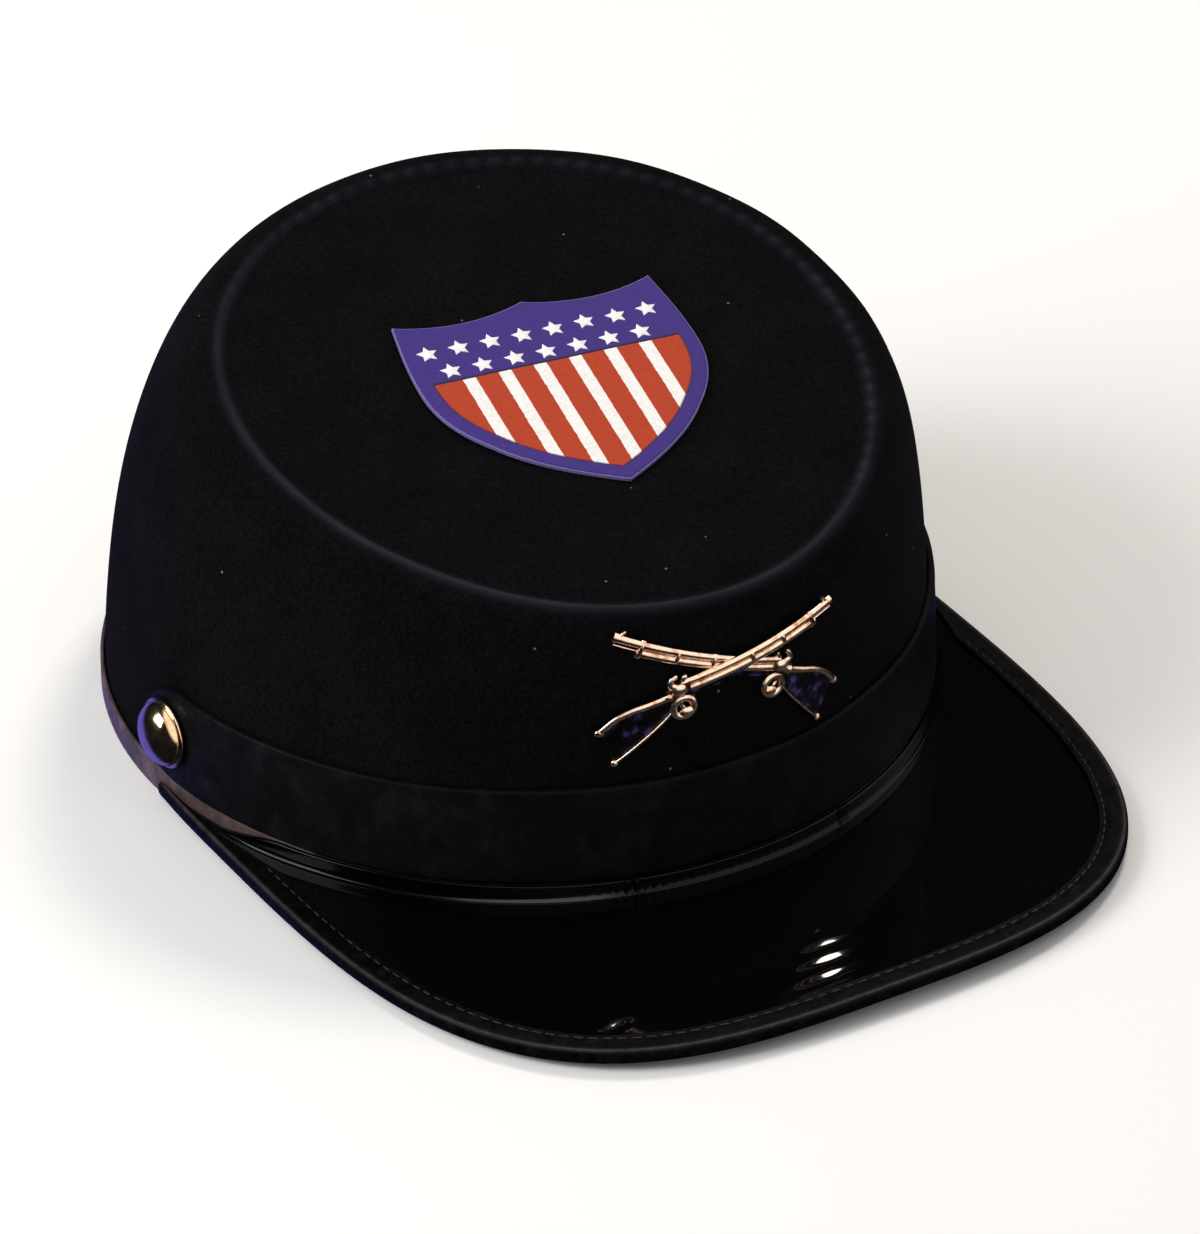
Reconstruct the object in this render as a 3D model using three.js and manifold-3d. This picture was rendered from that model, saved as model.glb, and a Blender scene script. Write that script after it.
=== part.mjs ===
// Kepi cap: a moulded felt crown with a sloping flat disc, a bound hem, a glossy
// vinyl peak with a taped edge, a chin strap held by two domed shank buttons, a
// crossed rifles pin on the front and a shield patch on the disc.
// Millimetres, +Z up, the front towards -Y, the wearer's left towards +X.
import * as THREE from 'three';
import { mergeVertices } from 'three/addons/utils/BufferGeometryUtils.js';
import Module from 'manifold-3d';

// General
const clearance = 0.3; // between pieces that lie on each other
const aroundSteps = 60; // facets round the crown
const surfaceStep = 1e-3; // step for tangents on the surfaces

// Felt crown
const crownHalfWidth = 92.1; // outer, at the hem
const crownHalfLength = 98.7; // outer, at the hem, front to back
const feltThickness = 2;
const discHalfWidth = 71.2;
const discHalfLength = 75.9;
const discHeight = 85.8; // middle of the disc above the surface
const discForward = 20.6; // middle of the disc ahead of the hem's middle
const discTilt = THREE.MathUtils.degToRad(12.2); // falls towards the front
const discEgg = 0.065; // wider behind and narrower ahead by this share
const wallUpright = 0.56; // share of the height over which the wall stands upright
const hemLean = 0.8; // the wall leans in by this over that share
const risingShare = 0.9; // share of the wall's curve up to which it only climbs
const wallShares = [0, 0.03, 0.07, 0.13, 0.2, 0.3, 0.42, 0.54]; // facet rows, low wall
const shoulderFrom = 0.63; // facet rows from here to the rim are evenly spaced
const shoulderRows = 8;
const discShare = 0.5; // ring of facets on the disc

// Rolled shoulder where the wall turns onto the disc. reach is a share of the
// disc's half width, rise a share of the disc's height.
const shoulder = {
  front: { reach: 0.085, rise: 0.038 },
  side: { reach: 0.184 },
  back: { reach: 0.121, rise: 0.13 },
};

// Hem binding, folded round the felt's lower edge
const bindingThickness = 0.9;
const bindingHeight = 6.5;

// Peak
const peakOverhang = 2.9; // beyond the crown's sides
const peakStraight = 25; // how far ahead of the crown's middle the peak is widest
const peakReach = 61.9; // front edge, ahead of the crown's front
const peakTail = 140; // half length of the arc that closes in on the hem behind
const peakEnds = 4; // the two ends lie this far ahead of the crown's middle
const peakSideExponent = 3; // squareness of the outline across
const peakFrontExponent = 3.6; // squareness of the outline lengthwise
const peakLift = 0.3; // edge above the surface at the sides
const peakArch = 2.4; // rise of the edge from the sides to the middle
const peakThickness = 1.5;
const peakColumns = 72; // facets along the outline
const outlineSamples = 480; // points that the even columns are taken from
const collarThickness = 1; // flange turned up against the hem binding
const collarMost = 0.4; // of the peak's depth, the most that the flange takes
const collarFoot = 1.6; // thickness at the flange's foot, in flange thicknesses
const collarBend = 0.4; // share of the flange's height that its foot takes
const collarHeight = 3.7; // above the peak's upper face
const collarStart = THREE.MathUtils.degToRad(19); // from the side, where it begins
const collarRun = THREE.MathUtils.degToRad(14); // over which it comes to full height

// Edge tape, folded round the peak's edge
const tapeThickness = 0.7;
const tapeWidth = 6.5;
const tapeShare = 0.5; // of the peak's depth, the most that the tape covers

// Chin strap
const strapThickness = 1.5;
const strapWidth = 23.4;
const strapAboveBinding = 0.4;
const strapPastButton = 9; // how far the rounded ends run past the buttons
const strapSteps = 32; // facets between the rounded ends
const strapEnd = [0.04, 0.14, 0.3, 0.5, 0.75, 1]; // sections of a rounded end

// Buttons
const buttonAngle = THREE.MathUtils.degToRad(3.75); // ahead of the crown's side
const buttonRadius = 8.2;
const buttonRim = 1; // thickness of the edge
const buttonDome = 4.4; // height of the dome over the edge
const shankRadius = 1.6;
const footRadius = 4; // washer inside the felt
const footThickness = 1;
const domeSteps = 5;
const buttonSides = 18;

// Crossed rifles pin
const riflesAside = -2.6; // crossing from the middle line
const riflesBelowDisc = 14.36; // crossing below the disc's front edge
const riflesTurn = THREE.MathUtils.degToRad(-5.2);
const riflesCross = THREE.MathUtils.degToRad(15.2); // each rifle from level
const upperMuzzle = 27.4; // from the crossing to the muzzle of the rifle on top
const lowerMuzzle = 30.4; // from the crossing to the muzzle of the one below
const rifleButt = 29.6; // from the crossing to the butt
const rifleWidth = 3; // barrel and fore-end together
const rifleDepth = 1.2;
const rifleStep = 6; // longest facet along a rifle
const rifleLap = 0.9; // how far the upper rifle lies over the lower one
const pinRadius = 0.6;
const pinSpread = 10; // of the two pins from the crossing
const clutchRadius = 2.6;
const clutchThickness = 1;
const guardRadius = 2.5; // trigger guard's ring
const guardWire = 0.55;
const guardAt = -0.43; // share of the butt's distance behind the crossing
const guardDrop = 1.9; // how far the ring hangs clear of the fore-end

// Bars of a rifle. from and to are shares of the muzzle's distance ahead of the
// crossing, or of the butt's behind it; low and high are shares of the rifle's
// width; under and over are shares of its depth.
const rifleBars = [
  { part: 'barrel', from: -0.4, to: 1, low: 0.05, high: 0.52, under: 0, over: 1 },
  { part: 'fore-end', from: -0.39, to: 0.78, low: -0.52, high: -0.03, under: 0.08, over: 0.8 },
  { part: 'web', from: -0.37, to: 0.76, low: -0.27, high: 0.2, under: 0.16, over: 0.5 },
  { part: 'sight', from: 0.9, to: 0.955, low: -0.17, high: 0.77, under: 0.24, over: 1.1 },
  { part: 'muzzle band', from: 0.72, to: 0.8, low: -0.67, high: 0.63, under: 0.3, over: 1.25 },
  { part: 'middle band', from: 0.15, to: 0.21, low: -0.67, high: 0.6, under: 0.3, over: 1.25 },
];

// Lower and upper edge of the stock and the hammer, in the same shares.
const rifleStock = [
  { at: -0.37, low: -0.56, high: 0.45 },
  { at: -0.45, low: -1.25, high: 0.15 },
  { at: -0.53, low: -2.05, high: -0.33 },
  { at: -0.66, low: -3.05, high: -0.58 },
  { at: -0.8, low: -4.05, high: -0.78 },
  { at: -0.92, low: -4.72, high: -1.2 },
  { at: -0.97, low: -3.3, high: -1.45 },
  { at: -1, low: -2.4, high: -1.7 },
];
const rifleHammer = [
  { at: -0.48, low: -0.15, high: 0.8 },
  { at: -0.45, low: 0, high: 1.15 },
  { at: -0.42, low: 0.2, high: 0.9 },
  { at: -0.38, low: 0.3, high: 0.65 },
];

// Shield patch
const shieldHalfWidth = 31;
const shieldLength = 62.2; // from the line of the corners to the tip
const shieldAside = 6; // middle of the corner line from the disc's middle line
const shieldBehind = 25.4; // middle of the corner line behind the disc's middle
const shieldTurn = THREE.MathUtils.degToRad(-7);
const shieldDip = 3; // depth of the two hollows along its top
const shieldBulge = 0.07; // widening of the sides below the corners, in half widths
const shieldBulgeEnd = 0.7; // share of the length where it ends
const shieldShoulder = 0.35; // share of the length before the sides close in
const shieldCurve = 2.6; // exponent of the sides below that
const shieldThickness = 1;

const front = -Math.PI / 2;
const up = new THREE.Vector3(0, 0, 1);
const hemHeight = bindingThickness + clearance;
const bindingInner = clearance;
const bindingOuter = bindingInner + bindingThickness;
const peakInner = bindingOuter + clearance;
const strapBottom = bindingHeight + strapAboveBinding;
const strapMiddle = strapBottom + strapWidth / 2;
const tapeFold = 2 * tapeThickness + 2 * clearance + peakThickness;
const peakInset = tapeThickness + clearance;
const bindingBack = crownHalfLength + bindingOuter;
const peakHalfWidth = crownHalfWidth + peakOverhang;
const peakFront = crownHalfLength + peakReach;
const discFrontHeight = discHeight - discHalfLength * Math.sin(discTilt);
const riflesHeight = discFrontHeight - riflesBelowDisc;

const pinPlaces = [-1, 1].map((side) => [
  side * pinSpread * Math.cos(riflesCross),
  pinSpread * Math.sin(riflesCross),
]);

const discAcross = new THREE.Vector3(1, 0, 0);
const discAlong = new THREE.Vector3(0, Math.cos(discTilt), Math.sin(discTilt));
const discNormal = new THREE.Vector3(0, -Math.sin(discTilt), Math.cos(discTilt));
const discMiddle = new THREE.Vector3(0, -discForward, discHeight);

const wasm = await Module();
wasm.setup();

// Solids from rows of points

// A closed skin through rings of equal length. The first ring joins the last one,
// and a row of one point is a pole.
function skin(rows) {
  const points = [];
  const starts = rows.map((row) => {
    points.push(...row);
    return points.length - row.length;
  });
  const faces = [];
  const around = Math.max(...rows.map((row) => row.length));
  for (let r = 0; r < rows.length; r += 1) {
    const next = (r + 1) % rows.length;
    for (let k = 0; k < around; k += 1) {
      const k2 = (k + 1) % around;
      const here = (index, row) => starts[row] + (rows[row].length === 1 ? 0 : index);
      const a = here(k, r);
      const b = here(k2, r);
      const c = here(k2, next);
      const d = here(k, next);
      if (a !== b) faces.push(a, b, c);
      if (c !== d) faces.push(a, c, d);
    }
  }
  return outward(solid(points, faces));
}

// A closed bar through sections of equal length, with a flat face at each end.
function bar(sections, outline) {
  const points = sections.flat();
  const count = outline.length;
  const faces = [];
  for (let s = 0; s + 1 < sections.length; s += 1) {
    for (let k = 0; k < count; k += 1) {
      const k2 = (k + 1) % count;
      const a = s * count + k;
      const b = s * count + k2;
      faces.push(a, b, b + count, a, b + count, a + count);
    }
  }
  const last = (sections.length - 1) * count;
  const lid = THREE.ShapeUtils.triangulateShape(outline, []);
  const turned = THREE.ShapeUtils.area(outline) > 0;
  for (const [a, b, c] of lid) {
    const [p, q] = turned ? [b, c] : [c, b];
    faces.push(a, q, p, last + a, last + p, last + q);
  }
  return outward(solid(points, faces));
}

function solid(points, faces) {
  const geometry = new THREE.BufferGeometry().setFromPoints(points);
  geometry.setIndex(faces);
  return geometry;
}

// Turns a skin's faces out where they point in.
function outward(geometry) {
  const at = geometry.attributes.position;
  const index = geometry.index;
  const [a, b, c] = [new THREE.Vector3(), new THREE.Vector3(), new THREE.Vector3()];
  let volume = 0;
  for (let i = 0; i < index.count; i += 3) {
    a.fromBufferAttribute(at, index.getX(i));
    b.fromBufferAttribute(at, index.getX(i + 1));
    c.fromBufferAttribute(at, index.getX(i + 2));
    volume += a.dot(b.cross(c));
  }
  if (volume < 0) geometry.setIndex(Array.from(index.array).reverse());
  return geometry;
}

function toManifold(geometry) {
  const bare = geometry.clone();
  bare.deleteAttribute('normal');
  bare.deleteAttribute('uv');
  const merged = mergeVertices(bare, 1e-4);
  return new wasm.Manifold(new wasm.Mesh({
    numProp: 3,
    vertProperties: new Float32Array(merged.attributes.position.array),
    triVerts: new Uint32Array(merged.index.array),
  }));
}

function fromManifold(body) {
  const mesh = body.getMesh();
  const geometry = new THREE.BufferGeometry();
  geometry.setAttribute('position', new THREE.BufferAttribute(mesh.vertProperties, 3));
  geometry.setIndex(new THREE.BufferAttribute(mesh.triVerts, 1));
  return geometry;
}

function cutAway(geometry, cutters) {
  let body = toManifold(geometry);
  for (const cutter of cutters) body = body.subtract(toManifold(cutter));
  return fromManifold(body);
}

function fuse(geometries) {
  let body = toManifold(geometries[0]);
  for (const geometry of geometries.slice(1)) body = body.add(toManifold(geometry));
  return fromManifold(body);
}

// Moves each vertex of a geometry by a function of its place.
function mapped(geometry, place) {
  const at = geometry.attributes.position;
  for (let i = 0; i < at.count; i += 1) {
    const p = place(new THREE.Vector3().fromBufferAttribute(at, i));
    at.setXYZ(i, p.x, p.y, p.z);
  }
  return geometry;
}

// Surfaces of the felt crown

function discPoint(angle, share) {
  const across = discHalfWidth * (1 + discEgg * Math.sin(angle)) * Math.cos(angle) * share;
  const along = discHalfLength * Math.sin(angle) * share;
  return discMiddle.clone().addScaledVector(discAcross, across).addScaledVector(discAlong, along);
}

// Outer face of the wall: a cubic curve at each angle, from the hem at share 0 to
// the disc's rim at share 1.
function wallPoint(angle, share) {
  const cos = Math.cos(angle);
  const sin = Math.sin(angle);
  const ahead = (1 - sin) / 2;
  const end = sin > 0 ? shoulder.back : shoulder.front;
  const reach = discHalfWidth * (shoulder.side.reach * cos * cos + end.reach * sin * sin);
  const rise = discHeight * (shoulder.front.rise * ahead + shoulder.back.rise * (1 - ahead));
  const rim = discPoint(angle, 1);
  const hem = new THREE.Vector3(crownHalfWidth * cos, crownHalfLength * sin, hemHeight);
  const upright = hem.clone().addScaledVector(up, wallUpright * (rim.z - hemHeight));
  upright.x -= hemLean * cos;
  upright.y -= hemLean * sin;
  const turn = rim.clone().addScaledVector(discNormal, rise);
  turn.addScaledVector(discAcross, reach * cos).addScaledVector(discAlong, reach * sin);
  return new THREE.CubicBezierCurve3(hem, upright, turn, rim).getPoint(share);
}

function wallNormal(angle, share) {
  const low = Math.max(share - surfaceStep, 0);
  const high = Math.min(share + surfaceStep, 1);
  const climb = wallPoint(angle, high).sub(wallPoint(angle, low));
  const round = wallPoint(angle + surfaceStep, share).sub(wallPoint(angle - surfaceStep, share));
  return round.cross(climb).normalize();
}

// Share of the wall's curve that lies at a height, by halving.
function shareAt(angle, height) {
  let low = 0;
  let high = risingShare;
  while (high - low > surfaceStep / 100) {
    const middle = (low + high) / 2;
    if (wallPoint(angle, middle).z < height) low = middle;
    else high = middle;
  }
  return (low + high) / 2;
}

// Point at a height, off the wall's outer face by a distance. Below the hem the
// wall is carried straight down.
function offWall(angle, height, distance) {
  const share = shareAt(angle, Math.max(height, hemHeight));
  const sideways = wallNormal(angle, share).setZ(0).normalize();
  const point = wallPoint(angle, share).addScaledVector(sideways, distance);
  return point.setZ(height);
}

function ring(steps, place) {
  return Array.from({ length: steps }, (_, k) => place((k / steps) * 2 * Math.PI));
}

function shares(count, from = 0, to = 1) {
  return Array.from({ length: count + 1 }, (_, k) => from + ((to - from) * k) / count);
}

// Felt crown: outer wall and disc, then the inner faces one felt thickness in.
function crown() {
  const rising = [...wallShares, ...shares(shoulderRows, shoulderFrom, 1)];
  const inside = (angle, share) => {
    const point = wallPoint(angle, share);
    const thick = point.clone().addScaledVector(wallNormal(angle, share), -feltThickness);
    return share === 0 ? thick.setZ(hemHeight) : thick;
  };
  const under = (point) => point.addScaledVector(discNormal, -feltThickness);
  return skin([
    ...rising.map((share) => ring(aroundSteps, (angle) => wallPoint(angle, share))),
    ring(aroundSteps, (angle) => discPoint(angle, discShare)),
    [discMiddle.clone()],
    [under(discMiddle.clone())],
    ring(aroundSteps, (angle) => under(discPoint(angle, discShare))),
    ...rising.reverse().map((share) => ring(aroundSteps, (angle) => inside(angle, share))),
  ]);
}

// Hem binding: a channel round the felt's lower edge, standing on its flat web.
function binding() {
  const innerLeg = -feltThickness - clearance;
  const section = [
    [bindingOuter, 0],
    [bindingOuter, bindingHeight],
    [bindingInner, bindingHeight],
    [bindingInner, bindingThickness],
    [innerLeg, bindingThickness],
    [innerLeg, bindingHeight],
    [innerLeg - bindingThickness, bindingHeight],
    [innerLeg - bindingThickness, 0],
  ];
  return skin(section.map(([distance, height]) => (
    ring(aroundSteps, (angle) => offWall(angle, height, distance))
  )));
}

// Outline of the peak. turn is 0 at the front and grows to each side: a squared
// oval ahead of the widest place, and an ellipse that closes in behind it.
function peakOutline(turn) {
  const ahead = Math.cos(turn);
  const aside = Math.sin(turn);
  const depth = peakFront - peakStraight;
  const x = peakHalfWidth * Math.sign(aside) * Math.abs(aside) ** (2 / peakSideExponent);
  const y = ahead > 0
    ? -peakStraight - depth * ahead ** (2 / peakFrontExponent)
    : -peakStraight - peakTail * ahead;
  return new THREE.Vector3(x, y, 0);
}

// Columns along the peak's edge, evenly spaced: the edge point, the way in from
// it, and the angle on the crown that this way meets.
function peakColumnsAlong() {
  const most = Math.PI / 2 + Math.asin((peakStraight - peakEnds) / peakTail);
  const curve = new THREE.CatmullRomCurve3(shares(outlineSamples, -most, most).map(peakOutline));
  curve.arcLengthDivisions = outlineSamples * 4;
  const a = crownHalfWidth + peakInner;
  const b = crownHalfLength + peakInner;
  return shares(peakColumns).map((share) => {
    const edge = curve.getPointAt(share);
    const along = curve.getTangentAt(share);
    const inward = new THREE.Vector3(-along.y, along.x, 0);
    if (inward.dot(edge) > 0) inward.negate();
    const A = (inward.x / a) ** 2 + (inward.y / b) ** 2;
    const B = (edge.x * inward.x) / a ** 2 + (edge.y * inward.y) / b ** 2;
    const C = (edge.x / a) ** 2 + (edge.y / b) ** 2 - 1;
    const depth = (-B - Math.sqrt(Math.max(B * B - A * C, 0))) / A;
    const meet = edge.clone().addScaledVector(inward, depth);
    const angle = Math.atan2(meet.y / b, meet.x / a);
    const lift = peakLift + peakArch * (1 - Math.min(Math.abs(edge.x) / peakHalfWidth, 1) ** 2);
    return { edge, inward, depth, angle, lift };
  });
}

// Peak: a plate out to the edge tape with a flange turned up against the binding.
function peak(columns) {
  const junction = peakInset + peakLift + peakThickness;
  const outline = [[0, 0], [9, 0], [9, 2], [3, 2], [2, 3], [2, 5], [0, 5]];
  const sections = columns.map(({ edge, inward, depth, angle, lift }) => {
    const side = Math.min(Math.abs(angle), Math.PI - Math.abs(angle));
    const grown = THREE.MathUtils.smoothstep(side, collarStart, collarStart + collarRun);
    const top = junction + Math.max(collarHeight * grown, clearance);
    const at = (distance, height) => (
      edge.clone().addScaledVector(inward, distance).setZ(height)
    );
    const outer = lift + peakInset;
    const thin = Math.min(collarThickness, (depth - peakInset) * collarMost);
    const bend = junction + (top - junction) * collarBend;
    return [
      offWall(angle, junction - peakThickness, peakInner),
      at(peakInset, outer),
      at(peakInset, outer + peakThickness),
      offWall(angle, junction, peakInner + thin * collarFoot),
      offWall(angle, bend, peakInner + thin),
      offWall(angle, top, peakInner + thin),
      offWall(angle, top, peakInner),
    ];
  });
  return bar(sections, outline.map(([x, y]) => new THREE.Vector2(x, y)));
}

// Edge tape: a channel over the peak's edge.
function tape(columns) {
  const outline = [[0, 0], [9, 0], [9, 9], [0, 9], [0, 8], [8, 8], [8, 1], [0, 1]];
  const sections = columns.map(({ edge, inward, depth, lift }) => {
    const leg = Math.min(tapeWidth, depth * tapeShare);
    const at = (distance, height) => (
      edge.clone().addScaledVector(inward, distance).setZ(lift + height)
    );
    const roof = tapeFold - tapeThickness;
    return [
      at(leg, 0),
      at(0, 0),
      at(0, tapeFold),
      at(leg, tapeFold),
      at(leg, roof),
      at(tapeThickness, roof),
      at(tapeThickness, tapeThickness),
      at(leg, tapeThickness),
    ];
  });
  return bar(sections, outline.map(([x, y]) => new THREE.Vector2(x, y)));
}

// Chin strap: a band round the front between the buttons, with rounded ends.
function strap() {
  const halfTurn = Math.PI / 2 - buttonAngle + strapPastButton / crownHalfWidth;
  const round = strapWidth / 2;
  const roundTurn = round / crownHalfWidth;
  const turns = [
    ...strapEnd.map((share) => -halfTurn + roundTurn * share),
    ...shares(strapSteps, -halfTurn + roundTurn, halfTurn - roundTurn).slice(1, -1),
    ...strapEnd.map((share) => halfTurn - roundTurn * share).reverse(),
  ];
  const outline = [[0, 0], [1, 0], [1, 1], [1, 2], [0, 2], [0, 1]];
  const sections = turns.map((turn) => {
    const left = Math.min((halfTurn - Math.abs(turn)) / roundTurn, 1);
    const half = round * Math.sqrt(1 - (1 - left) ** 2);
    const at = (height, distance) => offWall(front + turn, strapMiddle + height, distance);
    const outer = clearance + strapThickness;
    return [
      at(-half, clearance),
      at(-half, outer),
      at(0, outer),
      at(half, outer),
      at(half, clearance),
      at(0, clearance),
    ];
  });
  return bar(sections, outline.map(([x, y]) => new THREE.Vector2(x, y)));
}

// Frame on the wall's outer face: its origin, and Z along the outward normal.
function wallFrame(angle, height) {
  const share = shareAt(angle, height);
  const normal = wallNormal(angle, share);
  const sideways = new THREE.Vector3().crossVectors(up, normal).normalize();
  const upward = new THREE.Vector3().crossVectors(normal, sideways);
  const frame = new THREE.Matrix4().makeBasis(sideways, upward, normal);
  return frame.setPosition(wallPoint(angle, share));
}

// A round bar along Z between two heights.
function roundBar(radius, from, to, sides) {
  const geometry = new THREE.CylinderGeometry(radius, radius, to - from, sides);
  return geometry.rotateX(Math.PI / 2).translate(0, 0, (from + to) / 2);
}

// Domed button with its shank through strap and felt and a washer inside.
function button() {
  const seat = clearance + strapThickness + clearance;
  const washer = -feltThickness - clearance;
  const dome = shares(domeSteps).map((share) => {
    const bend = (share * Math.PI) / 2;
    return [buttonRadius * Math.cos(bend), seat + buttonRim + buttonDome * Math.sin(bend)];
  });
  const profile = [
    [0, washer - footThickness],
    [footRadius, washer - footThickness],
    [footRadius, washer],
    [shankRadius, washer],
    [shankRadius, seat],
    [buttonRadius, seat],
    ...dome.slice(0, -1),
    [0, seat + buttonRim + buttonDome],
  ].map(([x, y]) => new THREE.Vector2(x, y));
  return new THREE.LatheGeometry(profile, buttonSides).rotateX(Math.PI / 2);
}

// Length along the rifle: shares ahead of the crossing are of the muzzle's
// distance, and shares behind it are of the butt's.
function alongRifle(share, muzzle) {
  return share * (share > 0 ? muzzle : rifleButt);
}

// One flat piece of the rifle through rows of its lower and upper edge.
function ribbon(rows, muzzle, base, top) {
  const outline = [[0, 0], [1, 0], [1, 1], [0, 1]].map(([x, y]) => new THREE.Vector2(x, y));
  const sections = rows.map(({ at, low, high }) => [
    new THREE.Vector3(alongRifle(at, muzzle), low * rifleWidth, base),
    new THREE.Vector3(alongRifle(at, muzzle), high * rifleWidth, base),
    new THREE.Vector3(alongRifle(at, muzzle), high * rifleWidth, top),
    new THREE.Vector3(alongRifle(at, muzzle), low * rifleWidth, top),
  ]);
  return bar(sections, outline);
}

// One rifle, drawn flat: X along the barrel towards the muzzle, Y up.
function rifle(base, muzzle) {
  const level = (share) => base + share * rifleDepth;
  const pieces = rifleBars.map(({ from, to, low, high, under, over }) => {
    const length = alongRifle(to, muzzle) - alongRifle(from, muzzle);
    const rows = shares(Math.ceil(length / rifleStep), from, to).map((at) => ({ at, low, high }));
    return ribbon(rows, muzzle, level(under), level(over));
  });
  pieces.push(ribbon(rifleStock, muzzle, level(0.06), level(0.94)));
  pieces.push(ribbon(rifleHammer, muzzle, level(0.12), level(1.1)));
  const guard = new THREE.TorusGeometry(guardRadius, guardWire, 5, 12);
  const drop = rifleWidth / 2 + guardDrop + guardRadius - guardWire;
  pieces.push(guard.translate(alongRifle(guardAt, muzzle), -drop, level(0.5)));
  return pieces;
}

// Pin of two crossed rifles, bent to the wall, with two pins and clutches behind.
function rifles() {
  const seat = clearance;
  const under = rifle(seat, lowerMuzzle).map((part) => mirrored(part).rotateZ(-riflesCross));
  const over = rifle(seat + rifleLap, upperMuzzle).map((part) => part.rotateZ(riflesCross));
  const inside = -feltThickness - clearance;
  const pins = pinPlaces.flatMap(([x, y]) => [
    roundBar(pinRadius * 2, seat + rifleDepth * 0.1, seat + rifleDepth, 8).translate(x, y, 0),
    roundBar(pinRadius, inside - clutchThickness / 2, seat + rifleDepth / 2, 8).translate(x, y, 0),
    roundBar(clutchRadius, inside - clutchThickness, inside, 12).translate(x, y, 0),
  ]);
  const parts = [...under, ...over, ...pins];
  return fuse(parts.map((part) => mapped(part.rotateZ(riflesTurn), onWall)));
}

function mirrored(geometry) {
  const merged = mergeVertices(geometry.scale(-1, 1, 1));
  return merged.setIndex(Array.from(merged.index.array).reverse());
}

// Length round the front of the wall per radian, at the height of the crossing.
function frontRound() {
  const share = shareAt(front, riflesHeight);
  const [here, there] = [-surfaceStep, surfaceStep].map((turn) => wallPoint(front + turn, share));
  return here.distanceTo(there) / (2 * surfaceStep);
}

// Bends a flat place onto the front of the wall: X round the crown, Y up, Z out.
function onWall({ x, y, z }) {
  const height = riflesHeight + y;
  const angle = front + (riflesAside + x) / riflesRound;
  const share = shareAt(angle, height);
  return wallPoint(angle, share).addScaledVector(wallNormal(angle, share), z);
}

// Outline of the shield: half width at a share of its length.
function shieldHalf(share) {
  const past = Math.max(share - shieldShoulder, 0) / (1 - shieldShoulder);
  const bulge = shieldBulge * Math.sin(Math.PI * Math.min(share / shieldBulgeEnd, 1));
  return shieldHalfWidth * (1 + bulge) * (1 - past ** shieldCurve);
}

// Shield patch, lying flat on the disc.
function shield() {
  const down = [0, 0.1, 0.2, 0.3, 0.4, 0.5, 0.6, 0.7, 0.78, 0.85, 0.91, 0.96, 1];
  const side = down.map((share) => [shieldHalf(share), -share * shieldLength]);
  const top = shares(8, -1, 1).slice(1, -1).map((share) => {
    const across = Math.abs(share);
    return [share * shieldHalfWidth, -shieldDip * Math.sin(Math.PI * across) ** 0.8];
  });
  const shape = new THREE.Shape([
    ...side,
    ...side.slice(0, -1).reverse().map(([x, y]) => [-x, y]),
    ...top,
  ].map(([x, y]) => new THREE.Vector2(x, y)));
  const plate = new THREE.ExtrudeGeometry(shape, { depth: shieldThickness, bevelEnabled: false });
  const turned = plate.translate(0, 0, clearance).rotateZ(shieldTurn);
  const frame = new THREE.Matrix4().makeBasis(discAcross, discAlong, discNormal);
  frame.setPosition(discMiddle);
  return turned.translate(shieldAside, shieldBehind, 0).applyMatrix4(frame);
}

// Colours and finishes
const felt = { color: 0x0d0d12, roughness: 0.95, metalness: 0 };
const boundVinyl = { color: 0x4a3d3a, roughness: 0.6, metalness: 0 };
const patentVinyl = { color: 0x060606, roughness: 0.12, metalness: 0 };
const tapeVinyl = { color: 0x0b0b0b, roughness: 0.5, metalness: 0 };
const strapVinyl = { color: 0x0a0a0b, roughness: 0.45, metalness: 0 };
const giltBrass = { color: 0xe2b878, roughness: 0.2, metalness: 1 };
const printedCloth = { color: 0x4a34a0, roughness: 0.6, metalness: 0 };

const cap = new THREE.Group();
cap.position.y = (peakFront - bindingBack) / 2;

function add(name, geometry, finish) {
  const mesh = new THREE.Mesh(geometry, new THREE.MeshStandardMaterial(finish));
  mesh.name = name;
  cap.add(mesh);
}

const buttonFrames = [-1, 1].map((side) => (
  wallFrame(front + side * (Math.PI / 2 - buttonAngle), strapMiddle)
));
const shankHoles = buttonFrames.map((frame) => (
  roundBar(shankRadius + clearance, -footRadius, footRadius, 16).applyMatrix4(frame)
));
const riflesRound = frontRound();
const pinHoles = pinPlaces.map(([x, y]) => {
  const hole = roundBar(pinRadius + clearance, -2 * feltThickness, 2 * feltThickness, 12);
  return mapped(hole.translate(x, y, 0).rotateZ(riflesTurn), onWall);
});

const columns = peakColumnsAlong();
add('crown', cutAway(crown(), [...shankHoles, ...pinHoles]), felt);
add('base_binding', binding(), boundVinyl);
add('peak', peak(columns), patentVinyl);
add('peak_binding', tape(columns), tapeVinyl);
add('strap', cutAway(strap(), shankHoles), strapVinyl);
add('button_right', button().applyMatrix4(buttonFrames[0]), giltBrass);
add('button_left', button().applyMatrix4(buttonFrames[1]), giltBrass);
add('rifles_badge', rifles(), giltBrass);
add('shield_patch', shield(), printedCloth);

export default cap;
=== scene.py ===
import bpy
import bmesh
import numpy as np
from mathutils import Matrix, Vector


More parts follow.
